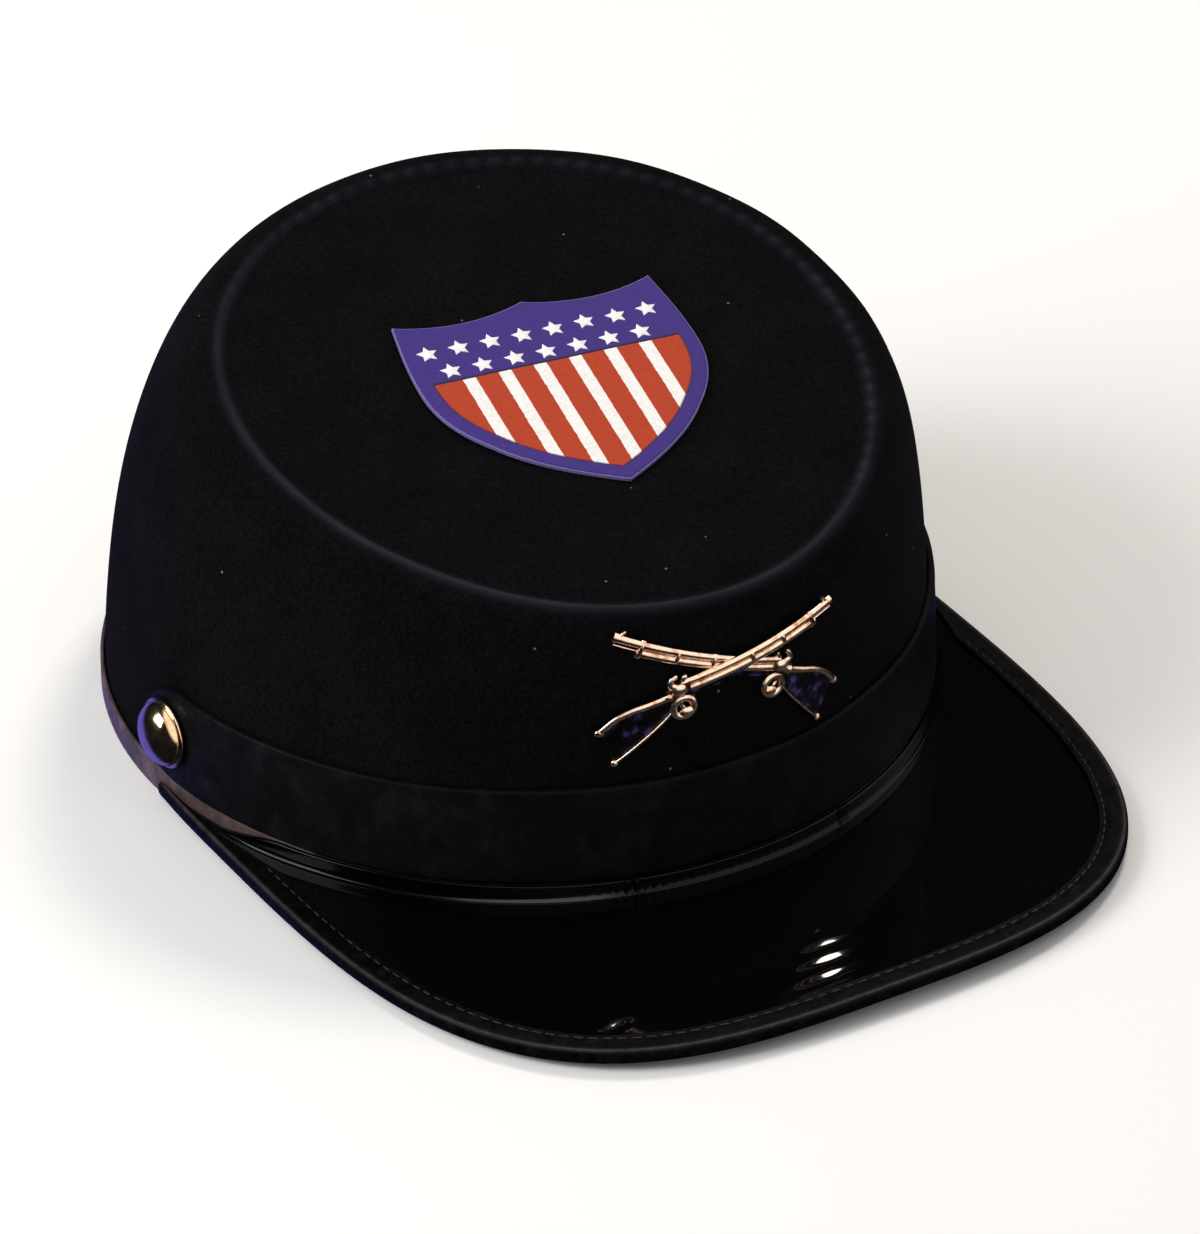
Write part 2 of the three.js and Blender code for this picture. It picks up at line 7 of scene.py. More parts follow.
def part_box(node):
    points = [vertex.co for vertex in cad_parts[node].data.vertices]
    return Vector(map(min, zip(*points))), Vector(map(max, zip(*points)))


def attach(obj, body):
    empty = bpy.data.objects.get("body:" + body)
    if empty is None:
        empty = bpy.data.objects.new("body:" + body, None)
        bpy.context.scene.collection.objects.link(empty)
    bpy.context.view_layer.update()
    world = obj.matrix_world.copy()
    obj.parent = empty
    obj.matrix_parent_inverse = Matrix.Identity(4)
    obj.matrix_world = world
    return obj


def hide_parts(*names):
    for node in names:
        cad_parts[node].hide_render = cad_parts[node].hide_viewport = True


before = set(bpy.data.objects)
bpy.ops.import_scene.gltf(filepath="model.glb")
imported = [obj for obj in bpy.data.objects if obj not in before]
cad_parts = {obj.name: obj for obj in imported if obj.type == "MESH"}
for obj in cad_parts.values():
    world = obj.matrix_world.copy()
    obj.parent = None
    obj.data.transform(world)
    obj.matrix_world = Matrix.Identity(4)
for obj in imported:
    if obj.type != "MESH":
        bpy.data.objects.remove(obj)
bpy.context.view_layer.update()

# Shapes are worked out in millimetres from the middle of the hem, where it stands
bindingLow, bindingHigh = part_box("base_binding")
hemMiddle = (bindingLow.y + bindingHigh.y) / 2
front = -np.pi / 2
gap = 0.3  # between pieces that lie on each other
rng = np.random.default_rng(7)


def toFrame(points):
    # millimetres from the hem's middle, to metres in the frame
    return np.asarray(points, float) * 0.001 + np.array([0.0, hemMiddle, 0.0])


def linear(hexColour):
    # each sRGB channel c: c / 12.92 when small, else ((c + 0.055) / 1.055) ** 2.4
    values = [int(hexColour[i:i + 2], 16) / 255 for i in (1, 3, 5)]
    return tuple(c / 12.92 if c <= 0.04045 else ((c + 0.055) / 1.055) ** 2.4 for c in values) + (1.0,)


def setUp(owner, node, values):
    # a key is an attribute or an input of the node; a value is plain, a hex colour, an output,
    # or another node, whose first output is meant
    for key, value in values.items():
        value = value.outputs[0] if isinstance(value, bpy.types.Node) else value
        if key == "ramp":
            elements = node.color_ramp.elements
            while len(elements) < len(value):
                elements.new(0.5)
            for element, (place, colour) in zip(elements, value):
                element.position = place
                element.color = linear(colour)
        elif isinstance(value, bpy.types.NodeSocket):
            owner.node_tree.links.new(value, node.inputs[key])
        elif isinstance(key, int) or key in node.inputs:
            colour = isinstance(value, str) and value.startswith("#")
            node.inputs[key].default_value = linear(value) if colour else value
        else:
            setattr(node, key, value)
    return node


def addNode(owner, kind, values=None):
    # a new node of a material or world, set up from one dictionary
    return setUp(owner, owner.node_tree.nodes.new("ShaderNode" + kind), values or {})


def newMaterial(name, values):
    # a material, its shader with the settings that are the same all over, and the object's place
    material = bpy.data.materials.new(name)
    material.use_nodes = True
    shader = setUp(material, material.node_tree.nodes["Principled BSDF"], values)
    return material, shader, addNode(material, "TexCoord").outputs["Object"]


def mottledMaterial(name, settings, size, detail, ramp, strength):
    # a noise of a real size in millimetres gives both the tone and the relief
    material, shader, place = newMaterial(name, settings)
    noise = addNode(material, "TexNoise", {"Vector": place, "Scale": 1000 / size, "Detail": detail})
    tone = addNode(material, "ValToRGB", {0: noise, "ramp": ramp})
    bump = addNode(material, "Bump", {"Height": noise, "Strength": strength, "Distance": 0.0001})
    setUp(material, shader, {"Base Color": tone, "Normal": bump})
    return material


# Camera: found by fitting the hem, the disc's rim and the peak to the photograph
cameraFit = {
    "azimuth": -29.965, "elevation": 31.939, "roll": -1.268,
    "distance": 1693.405, "right": 19.354, "up": 11.087,
    "focalPixels": 7415.96, "imageHeight": 1234,
}


def addCamera(c):
    # back vector from the two angles, right vector level, up their cross product, then the roll
    azimuth, elevation, roll = np.radians([c["azimuth"], c["elevation"], c["roll"]])
    level = np.cos(elevation)
    back = np.array([np.sin(azimuth) * level, -np.cos(azimuth) * level, np.sin(elevation)])
    right = np.array([np.cos(azimuth), np.sin(azimuth), 0.0])
    up = np.cross(back, right)
    place = toFrame(back * c["distance"] + right * c["right"] + up * c["up"])
    right, up = np.cos(roll) * right + np.sin(roll) * up, np.cos(roll) * up - np.sin(roll) * right
    data = bpy.data.cameras.new("camera")
    data.sensor_fit = "VERTICAL"
    data.sensor_height = 36.0
    data.lens = c["focalPixels"] / c["imageHeight"] * data.sensor_height
    data.clip_end = 20.0
    camera = bpy.data.objects.new("camera", data)
    bpy.context.collection.objects.link(camera)
    axes = np.column_stack([right, up, back, place])
    camera.matrix_world = Matrix([*axes.tolist(), [0, 0, 0, 1]])
    bpy.context.scene.camera = camera


addCamera(cameraFit)
print("camera placed")


# The felt body's outer face, by the same sizes as the solids
body = {
    "halfWidth": 92.1, "halfLength": 98.7, "hemHeight": 1.2,
    "discHalfWidth": 71.2, "discHalfLength": 75.9, "discHeight": 85.8, "discForward": 20.6,
    "discTilt": 12.2, "discEgg": 0.065, "upright": 0.56, "lean": 0.8, "risingShare": 0.9,
    "frontReach": 0.085, "sideReach": 0.184, "backReach": 0.121, "frontRise": 0.038, "backRise": 0.13,
}
tilt = np.radians(body["discTilt"])
discAcross = np.array([1.0, 0.0, 0.0])
discAlong = np.array([0.0, np.cos(tilt), np.sin(tilt)])
discNormal = np.array([0.0, -np.sin(tilt), np.cos(tilt)])
discMiddle = np.array([0.0, -body["discForward"], body["discHeight"]])


def unit(vectors):
    return vectors / np.linalg.norm(vectors, axis=-1, keepdims=True)


def smooth(low, high, value):
    # 0 below low, 1 above high, 3t^2 - 2t^3 between
    t = np.clip((value - low) / (high - low), 0, 1)
    return t * t * (3 - 2 * t)


def between(start, end, rise, fall, value):
    # eases from 0 to 1 past the start, and back to 0 before the end
    return smooth(start, start + rise, value) * (1 - smooth(end - fall, end, value))


def discPoint(angle, share):
    # middle + width (1 + egg sin) cos share across + length sin share along
    across = body["discHalfWidth"] * (1 + body["discEgg"] * np.sin(angle)) * np.cos(angle) * share
    along = body["discHalfLength"] * np.sin(angle) * share
    return discMiddle + across[..., None] * discAcross + along[..., None] * discAlong


def wallPoint(angle, share):
    # cubic Bezier at each angle: hem, a point straight over it, a point over the rim, the rim
    b = body
    angle, share = np.broadcast_arrays(np.asarray(angle, float), np.asarray(share, float))
    cos, sin = np.cos(angle), np.sin(angle)
    endReach = np.where(sin > 0, b["backReach"], b["frontReach"])
    reach = b["discHalfWidth"] * (b["sideReach"] * cos ** 2 + endReach * sin ** 2)
    rise = b["discHeight"] * (b["frontRise"] * (1 - sin) / 2 + b["backRise"] * (1 + sin) / 2)
    rim = discPoint(angle, np.ones_like(angle))
    hem = np.stack([b["halfWidth"] * cos, b["halfLength"] * sin, np.full_like(cos, b["hemHeight"])], -1)
    climb = b["upright"] * (rim[..., 2] - b["hemHeight"])
    upright = hem + np.stack([-b["lean"] * cos, -b["lean"] * sin, climb], -1)
    turn = rim + discNormal * rise[..., None]
    turn = turn + discAcross * (reach * cos)[..., None] + discAlong * (reach * sin)[..., None]
    t = share[..., None]
    return (1 - t) ** 3 * hem + 3 * (1 - t) ** 2 * t * upright + 3 * (1 - t) * t * t * turn + t ** 3 * rim


def wallNormal(angle, share):
    # cross product of the steps round and up the wall
    step = 1e-3
    climb = wallPoint(angle, np.minimum(share + step, 1)) - wallPoint(angle, np.maximum(share - step, 0))
    around = wallPoint(angle + step, share) - wallPoint(angle - step, share)
    return unit(np.cross(around, climb))


def shareAt(angle, height):
    # share of the curve that lies at a height, by halving
    angle, height = np.broadcast_arrays(np.asarray(angle, float), np.asarray(height, float))
    low, high = np.zeros_like(height), np.full_like(height, body["risingShare"])
    for _ in range(26):
        middle = (low + high) / 2
        below = wallPoint(angle, middle)[..., 2] < height
        low, high = np.where(below, middle, low), np.where(below, high, middle)
    return (low + high) / 2


def offWall(angle, height, distance):
    # point at a height, off the wall sideways by a distance; straight down below the hem
    values = [np.asarray(value, float) for value in (angle, height, distance)]
    angle, height, distance = np.broadcast_arrays(*values)
    share = shareAt(angle, np.maximum(height, body["hemHeight"]))
    sideways = wallNormal(angle, share) * np.array([1.0, 1.0, 0.0])
    point = wallPoint(angle, share) + unit(sideways) * distance[..., None]
    return np.concatenate([point[..., :2], height[..., None]], -1)


def ripple(points, wavelength, seed):
    # soft unevenness between about -1 and 1: a sum of seeded plane waves
    waves = np.random.default_rng(seed)
    total = np.zeros(points.shape[:-1])
    for _ in range(9):
        direction = unit(waves.normal(size=3)) * 2 * np.pi / (wavelength * waves.uniform(0.7, 1.5))
        total += np.sin(points @ direction + waves.uniform(0, 2 * np.pi))
    return total / 4


def gridFaces(rows, columns, wrapRows, wrapColumns, start=0):
    # quads between neighbouring places of a grid, joined round where it wraps
    index = np.arange(rows * columns).reshape(rows, columns) + start
    if wrapRows:
        index = np.vstack([index, index[:1]])
    if wrapColumns:
        index = np.hstack([index, index[:, :1]])
    quads = np.stack([index[:-1, :-1], index[:-1, 1:], index[1:, 1:], index[1:, :-1]], -1)
    return quads.reshape(-1, 4).tolist()


def hemCircle(angle):
    # a circle of about the hem's size, on which ripples round the hem are read
    return 95 * np.stack([np.cos(angle), np.sin(angle), 0 * angle], -1)


def closedGrid(rows, columns):
    # a tube of quads with one face over each end
    ends = [list(range(columns)), list(range((rows - 1) * columns, rows * columns))]
    return gridFaces(rows, columns, False, True) + ends


def addPiece(name, shells, materials, nodes, attributes=None, sharp=None):
    # one mesh from shells of (points, faces, material number), doubles merged, faces outwards
    points = np.concatenate([np.asarray(shell[0]).reshape(-1, 3) for shell in shells])
    faces, numbers, start = [], [], 0
    for shellPoints, shellFaces, number in shells:
        faces += [[corner + start for corner in face] for face in shellFaces] if start else shellFaces
        numbers += [number] * len(shellFaces)
        start += np.asarray(shellPoints).reshape(-1, 3).shape[0]
    mesh = bpy.data.meshes.new(name)
    mesh.from_pydata(toFrame(points).tolist(), [], faces)
    mesh.polygons.foreach_set("material_index", numbers)
    for key, values in (attributes or {}).items():
        layer = mesh.attributes.new(key, "FLOAT", "POINT")
        layer.data.foreach_set("value", np.asarray(values, np.float32).ravel())
    work = bmesh.new()
    work.from_mesh(mesh)
    bmesh.ops.remove_doubles(work, verts=work.verts, dist=2e-6)
    bmesh.ops.recalc_face_normals(work, faces=work.faces)
    work.to_mesh(mesh)
    work.free()
    mesh.polygons.foreach_set("use_smooth", [True] * len(mesh.polygons))
    if sharp:
        mesh.set_sharp_from_angle(angle=np.radians(sharp))
    for material in materials:
        mesh.materials.append(material)
    piece = bpy.data.objects.new(name, mesh)
    bpy.context.collection.objects.link(piece)
    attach(piece, "root")
    if nodes:
        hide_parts(*nodes)
    print(name, "made of", len(mesh.polygons), "faces")
    return piece


def roundedOutline(corners, steps=5):
    # closed outline of (x, y, radius) corners, each cut by an arc that ends on its two sides
    points = []
    for i, (x, y, radius) in enumerate(corners):
        here = np.array([x, y])
        before = np.array(corners[i - 1][:2]) - here
        after = np.array(corners[(i + 1) % len(corners)][:2]) - here
        reach = min(radius, 0.45 * np.linalg.norm(before), 0.45 * np.linalg.norm(after))
        start, end = here + unit(before) * reach, here + unit(after) * reach
        t = np.linspace(0, 1, steps)[:, None]
        points.append((1 - t) ** 2 * start + 2 * (1 - t) * t * here + t * t * end)
    return np.concatenate(points)


def resampled(outline, step):
    # the closed outline with points added so that no side is longer than the step
    points = []
    for here, after in zip(outline, np.roll(outline, -1, axis=0)):
        count = max(int(np.ceil(np.linalg.norm(after - here) / step)), 1)
        points.append(here + (after - here) * np.arange(count)[:, None] / count)
    return np.concatenate(points)


# Felt crown
feltCrown = {
    "around": 480, "wallRows": 52, "rimRows": 40, "discRows": 40, "innerRows": 26, "underRows": 6,
    "thickness": 2.0,
    "rimFrom": 0.76,  # share of the wall's curve past which its rows crowd towards the rim
    "bead": 0.85, "beadWidth": 1.25, "groove": 0.3, "grooveAt": 3.2, "grooveWidth": 1.7,
    "pucker": 0.4, "puckerSpacing": 5.0, "puckerMiddle": 40.0,
    "ripple": 0.16, "rippleLength": 34.0, "rippleFrom": 8, "rippleFull": 30,
    # width of the pale line painted along the ridge as sheen, and the angle where it is strongest
    "paintedSheenWidth": 1.25, "paintedSheenMiddle": -135.0,
}


def feltMaterial():
    # pressed wool felt: matt and almost black, with short loose fibres that catch a soft sheen.
    # Single fibres of 0.03 mm are too fine to show, so the grain is drawn at 0.9 mm.
    material, shader, place = newMaterial("pressed_wool_felt", {
        "Roughness": 0.95, "Specular IOR Level": 0.04,
        "Sheen Weight": 0.004, "Sheen Roughness": 0.5, "Sheen Tint": "#c8c4dc",
    })
    grain = addNode(material, "TexNoise", {
        "Vector": place, "Scale": 1000 / 0.9, "Detail": 3.0, "Roughness": 0.65})
    cloud = addNode(material, "TexNoise", {"Vector": place, "Scale": 1000 / 16, "Detail": 3.0})
    mottle = addNode(material, "Math", {"operation": "MULTIPLY_ADD", 0: cloud, 1: 0.35, 2: grain})
    tone = addNode(material, "ValToRGB", {
        0: mottle, "ramp": [(0.5, "#040406"), (0.68, "#09090b"), (0.86, "#0f0f12")]})
    # painted sheen: a paler grey along the ridge, strongest at the front on the wearer's right and brighter
    # on each pucker
    worn = addNode(material, "Attribute", {"attribute_name": "worn"})
    paintedSheenLine = addNode(material, "Mix", {
        "data_type": "RGBA", 0: worn.outputs["Fac"], 6: tone, 7: "#2a2832"})
    # lint caught in the nap: a speck of about 0.5 mm where the middle of a 10 mm cell meets the surface
    cell = addNode(material, "TexVoronoi", {"Vector": place, "Scale": 1000 / 10.0})
    speck = addNode(material, "MapRange", {
        "Value": cell.outputs["Distance"], "From Min": 0.02, "From Max": 0.036, "To Min": 1.0, "To Max": 0.0})
    colour = addNode(material, "Mix", {"data_type": "RGBA", 0: speck, 6: paintedSheenLine.outputs[2], 7: "#6c6c74"})
    bump = addNode(material, "Bump", {"Height": grain, "Strength": 0.5, "Distance": 0.0004})
    setUp(material, shader, {"Base Color": colour.outputs[2], "Normal": bump})
    return material


def crownPoints(c):
    # rows up the outer wall and over the disc, then back under it and down the inner wall
    angle = np.linspace(0, 2 * np.pi, c["around"], endpoint=False)[None, :]
    low = np.linspace(0, c["rimFrom"], c["wallRows"], endpoint=False)
    high = 1 - (1 - c["rimFrom"]) * np.linspace(1, 0, c["rimRows"]) ** 1.5
    wallShare = np.concatenate([low, high])[:, None]
    discShare = (1 - np.linspace(0, 1, c["discRows"] + 1)[1:] ** 1.35)[:, None]
    wall = wallPoint(angle, wallShare)
    disc = discPoint(angle + 0 * discShare, discShare + 0 * angle)
    normals = np.concatenate([wallNormal(angle + 0 * wallShare, wallShare + 0 * angle),
                              np.broadcast_to(discNormal, disc.shape)])
    outer = np.concatenate([wall, disc])
    # bead along the rim: a narrow raised crest with a shallow groove on each side,
    # puckered every few millimetres on the wearer's left and behind
    rim = wallPoint(angle, np.ones_like(angle))
    distance = np.linalg.norm(outer - rim, axis=-1)
    lift = unit(wallNormal(angle, np.ones_like(angle)) + discNormal)
    arc = angle * (body["discHalfWidth"] + body["discHalfLength"]) / 2
    dotted = np.clip(0.35 + 1.2 * np.cos(angle - np.radians(c["puckerMiddle"])), 0, 1)
    pucker = 1 + c["pucker"] * dotted * np.cos(2 * np.pi * arc / c["puckerSpacing"])
    crest = c["bead"] * pucker * np.exp(-(distance / c["beadWidth"]) ** 2)
    crest = crest - c["groove"] * np.exp(-((distance - c["grooveAt"]) / c["grooveWidth"]) ** 2)
    uneven = c["ripple"] * smooth(c["rippleFrom"], c["rippleFull"], outer[..., 2])
    outer = outer + lift * crest[..., None]
    outer = outer + normals * (uneven * ripple(outer, c["rippleLength"], 3))[..., None]
    innerShare = np.linspace(1, 0, c["innerRows"])[:, None]
    inward = wallNormal(angle + 0 * innerShare, innerShare + 0 * angle)
    inner = wallPoint(angle, innerShare) - c["thickness"] * inward
    inner[-1, :, 2] = body["hemHeight"]
    underShare = np.linspace(0, 0.97, c["underRows"])[:, None] + 0 * angle
    under = discPoint(angle + 0 * underShare, underShare) - c["thickness"] * discNormal
    # painted sheen along the ridge: a pale line on the crest, strongest at the front on the wearer's right
    # and brighter on each pucker; none under the disc or inside
    paintedSheenStrength = 0.62 + 0.3 * np.cos(angle - np.radians(c["paintedSheenMiddle"])) + 0.12 * ripple(rim, 16, 8)
    worn = np.exp(-(distance / c["paintedSheenWidth"]) ** 2) * paintedSheenStrength * (1 + 0.5 * (pucker - 1) / c["pucker"])
    worn = np.concatenate([worn, np.zeros((len(under) + len(inner), len(angle[0])))])
    return np.concatenate([outer, under, inner]), worn


def addCrown(c):
    points, worn = crownPoints(c)
    shells = [(points, gridFaces(*points.shape[:2], True, True), 0)]
    attributes = {"worn": np.clip(worn, 0, 1)}
    return addPiece("felt_crown", shells, [feltMaterial()], ["crown"], attributes)


addCrown(feltCrown)


# Hem binding, a strip of leathercloth folded round the felt's edge
hemBinding = {
    "around": 480, "thickness": 0.9, "height": 6.5, "felt": 2.0, "waver": 0.22,
    "puff": 0.12, "puffAt": 3.2, "puffWidth": 2.0, "tucked": 0.7,
    "colours": ["#2e2524", "#4e3f3e", "#6f5c58"], "roughness": (0.42, 0.62),
    "grain": 1.1, "relief": 0.00012, "specular": 0.4,
}


def leatherclothMaterial(name, c):
    # vinyl-coated cloth, embossed with a fine leather grain: broken, satin highlights
    material, shader, place = newMaterial(name, {"Specular IOR Level": c["specular"]})
    grain = addNode(material, "TexVoronoi", {
        "feature": "SMOOTH_F1", "Vector": place, "Scale": 1000 / c["grain"], "Smoothness": 0.6})
    fine = addNode(material, "TexNoise", {"Vector": place, "Scale": 1000 / 0.5, "Detail": 2.0})
    cloud = addNode(material, "TexNoise", {
        "Vector": place, "Scale": 1000 / 9, "Detail": 6.0, "Roughness": 0.72})
    tone = addNode(material, "ValToRGB", {0: cloud, "ramp": list(zip((0.3, 0.5, 0.72), c["colours"]))})
    gloss = addNode(material, "MapRange", {
        "Value": fine, "From Min": 0.35, "From Max": 0.65,
        "To Min": c["roughness"][0], "To Max": c["roughness"][1]})
    coarse = addNode(material, "Bump", {
        "Height": grain.outputs["Distance"], "Strength": 0.6, "Distance": c["relief"]})
    bump = addNode(material, "Bump", {
        "Height": fine, "Normal": coarse, "Strength": 0.35, "Distance": c["relief"] / 2})
    setUp(material, shader, {"Base Color": tone, "Roughness": gloss, "Normal": bump})
    return material


def addBinding(c):
    # a rounded channel section carried round the hem; its upper edge wavers a little
    thick, tall = c["thickness"], c["height"]
    outer, inner = gap + thick, -c["felt"] - gap
    outline = resampled(roundedOutline([
        (outer, 0, 0.5), (outer, tall, 0.42), (gap, tall, 0.42), (gap, thick, 0.2),
        (inner, thick, 0.2), (inner, tall, 0.42), (inner - thick, tall, 0.42), (inner - thick, 0, 0.5)]), 1.1)
    angle = np.linspace(0, 2 * np.pi, c["around"], endpoint=False)[None, :]
    distance, height = outline[:, :1], outline[:, 1:]
    circle = hemCircle(angle)
    upper = smooth(0.6, 1, height / tall)
    # lower in front, where the peak's flange covers it
    covered = smooth(0.42, 0.56, -np.sin(angle))
    waver = c["waver"] * ripple(circle, 22, 5) * (1 - covered)
    height = height + upper * (waver - c["tucked"] * covered)
    middle = np.exp(-((height - c["puffAt"]) / c["puffWidth"]) ** 2) * (distance > outer - 0.05)
    distance = distance + c["puff"] * middle * ripple(circle, 12, 6)
    points = offWall(angle + 0 * height, height, distance + 0 * angle)
    shells = [(points, gridFaces(*points.shape[:2], True, True), 0)]
    return addPiece("hem_binding", shells, [leatherclothMaterial("leathercloth_grey_brown", c)],
                    ["base_binding"])


addBinding(hemBinding)


# Peak: patent vinyl plate with a flange turned up against the hem
vinylPeak = {
    "columns": 440, "overhang": 2.9, "straight": 25.0, "reach": 61.9, "tail": 140.0, "ends": 4.0,
    "sideExponent": 3.0, "frontExponent": 3.6, "lift": 0.3, "arch": 2.4, "thickness": 1.5,
    "underRows": 14, "edgeTurns": [30, 60, 90, 120, 150], "edgeBulge": 0.25, "upperRows": 64,
    "wave": 0.1, "waveLength": 30,
    "dents": [  # small ripples that catch the lamp
        {"x": -5.0, "y": -142.3, "wavelength": 5.6, "depth": 0.33, "halfWidth": 6.0, "halfLength": 9.5},
        {"x": -56.5, "y": -138.5, "wavelength": 5.0, "depth": 0.3, "halfWidth": 3.0, "halfLength": 2.4},
    ],
    "dentShear": 0.56,
    "collar": 1.0, "collarHeight": 3.7, "collarStart": 13.0, "collarRun": 13.0, "collarMost": 0.4,
    "collarRows": 12, "footWidth": 1.6, "footShare": 0.35, "lip": 0.08, "lipTurns": [25, 55, 90, 125, 155],
    "gather": 0.3, "gatherSpacing": 2.3, "gatherFrom": 244.0, "gatherTo": 280.0, "gatherRadius": 98,
    "dull": 0.12, "lineFrom": 228.0, "lineTo": 254.0, "lineRows": 3,
}
edgeTape = {
    "thickness": 0.7, "width": 6.5, "share": 0.5, "press": 0.22, "waver": 0.12,
    "stitchInset": 5.2, "stitchSpacing": 3.4, "stitchLength": 2.5, "thread": 0.42,
}
peakInner = gap + hemBinding["thickness"] + gap
peakInset = edgeTape["thickness"] + gap


def peakColumns(c):
    # squared oval ahead of the widest place and a flat arc behind it, evenly spaced, with the
    # way in from each edge point to the ellipse round the hem
    halfWidth = body["halfWidth"] + c["overhang"]
    frontEdge = body["halfLength"] + c["reach"]
    most = np.pi / 2 + np.arcsin((c["straight"] - c["ends"]) / c["tail"])
    turn = np.linspace(-most, most, 6001)
    ahead, aside = np.cos(turn), np.sin(turn)
    x = halfWidth * np.sign(aside) * np.abs(aside) ** (2 / c["sideExponent"])
    oval = -c["straight"] - (frontEdge - c["straight"]) * np.abs(ahead) ** (2 / c["frontExponent"])
    y = np.where(ahead > 0, oval, -c["straight"] - c["tail"] * ahead)
    length = np.concatenate([[0], np.cumsum(np.hypot(np.diff(x), np.diff(y)))])
    even = np.linspace(0, length[-1], c["columns"])
    x, y = np.interp(even, length, x), np.interp(even, length, y)
    # the inward normal, with the edge's direction averaged over five columns
    soft = np.ones(5) / 5
    alongX, alongY = np.gradient(x), np.gradient(y)
    alongX[2:-2], alongY[2:-2] = np.convolve(alongX, soft, "valid"), np.convolve(alongY, soft, "valid")
    inward = unit(np.stack([-alongY, alongX], -1))
    inward = np.where((inward[:, 0] * x + inward[:, 1] * y > 0)[:, None], -inward, inward)
    # distance t to the ellipse: squared t^2 + 2 crossed t + outside = 0, its nearer root
    a, b = body["halfWidth"] + peakInner, body["halfLength"] + peakInner
    squared = (inward[:, 0] / a) ** 2 + (inward[:, 1] / b) ** 2
    crossed = x * inward[:, 0] / a ** 2 + y * inward[:, 1] / b ** 2
    outside = (x / a) ** 2 + (y / b) ** 2 - 1
    depth = (-crossed - np.sqrt(np.maximum(crossed * crossed - squared * outside, 0))) / squared
    meetX, meetY = x + inward[:, 0] * depth, y + inward[:, 1] * depth
    angle = np.arctan2(meetY / b, meetX / a)
    lift = c["lift"] + c["arch"] * (1 - np.minimum(np.abs(x) / halfWidth, 1) ** 2)
    edge = np.stack([x, y, lift], -1)
    return edge, np.concatenate([inward, np.zeros((len(x), 1))], -1), depth, angle, even


def patentMaterial():
    # patent vinyl: black, cast against a polished sheet, so it mirrors the room with a slight wobble
    material, shader, place = newMaterial("patent_vinyl", {
        "Base Color": "#030304", "Specular IOR Level": 0.08, "Coat Roughness": 0.05, "Coat IOR": 1.5,
    })
    wobble = addNode(material, "TexNoise", {"Vector": place, "Scale": 1000 / 12, "Detail": 1.0})
    # the flange, bent and handled, has lost most of its shine
    shine = addNode(material, "Attribute", {"attribute_name": "gloss"})
    scuff = addNode(material, "TexNoise", {
        "Vector": place, "Scale": 1000 / 1.6, "Detail": 5.0, "Roughness": 0.7})
    gloss = addNode(material, "MapRange", {
        "Value": scuff, "From Min": 0.35, "From Max": 0.75, "To Min": 0.12, "To Max": 0.24})
    low = addNode(material, "Bump", {"Height": wobble, "Strength": 0.25, "Distance": 0.0004})
    bump = addNode(material, "Bump", {"Height": scuff, "Normal": low, "Strength": 0.03, "Distance": 0.0001})
    setUp(material, shader, {"Roughness": gloss, "Coat Weight": shine.outputs["Fac"], "Normal": bump})
    return material


def plateRows(c, edge, inward, heel, foot):
    # straight bottom, half round edge, then the top with its soft waves; a dent is a sine wave
    # that fades out to all sides
    rim = edge + inward * peakInset + np.array([0, 0, peakInset])
    rimTop = rim + np.array([0, 0, c["thickness"]])
    rows = [heel + (rim - heel) * t for t in np.linspace(0, 1, c["underRows"])]
    for turn in np.radians(c["edgeTurns"]):
        raised = (rimTop - rim) * (1 - np.cos(turn)) / 2
        rows.append(rim + raised - inward * c["edgeBulge"] * np.sin(turn))
    for t in np.linspace(0, 1, c["upperRows"])[:-1] ** 0.9:
        row = rimTop + (foot - rimTop) * t
        wave = c["wave"] * np.sin(np.pi * t) * ripple(row * [1, 1, 0], c["waveLength"], 11)
        for dent in c["dents"]:
            behind = row[:, 1] - dent["y"]
            aside = row[:, 0] - dent["x"] - c["dentShear"] * behind
            patch = np.exp(-(aside / dent["halfWidth"]) ** 2 - (behind / dent["halfLength"]) ** 4)
            wave = wave + dent["depth"] * patch * np.sin(2 * np.pi * behind / dent["wavelength"])
        rows.append(row + np.array([0, 0, 1]) * wave[:, None])
    return rows


def flangeRows(c, angle, junction, grown, thin):
    # outer face, thicker at its foot and gathered in front, rounded lip, then down the inner face
    degrees = np.degrees(angle) % 360
    low = junction - c["thickness"]
    top = junction + np.maximum(c["collarHeight"] * grown, gap)
    gathered = between(c["gatherFrom"], c["gatherTo"], 8, 8, degrees)
    jitter = ripple(np.stack([degrees, 0 * degrees, 0 * degrees], -1), 6, 13)
    arc = np.radians(degrees) * c["gatherRadius"]
    ribs = np.cos(2 * np.pi * (arc / c["gatherSpacing"] + 0.35 * jitter)) - 0.6
    rows = []
    for t in np.linspace(0, 1, c["collarRows"]):
        spread = thin * (1 + (c["footWidth"] - 1) * (1 - min(t / c["footShare"], 1)) ** 2)
        rib = c["gather"] * gathered * ribs * np.sin(np.pi * min(t * 0.8 + 0.12, 1)) * grown
        height = junction + (top - junction) * t * (1 - c["lip"])
        rows.append(offWall(angle, height, peakInner + np.maximum(spread + np.minimum(rib, 0.2), 0.25)))
    for turn in np.radians(c["lipTurns"]):
        height = top - (top - junction) * c["lip"] * (1 - np.sin(turn))
        rows.append(offWall(angle, height, peakInner + thin * (1 + np.cos(turn)) / 2))
    for t in np.linspace(0.92, 0.1, 6):
        rows.append(offWall(angle, low + (top - low) * t, peakInner + 0 * angle))
    return rows


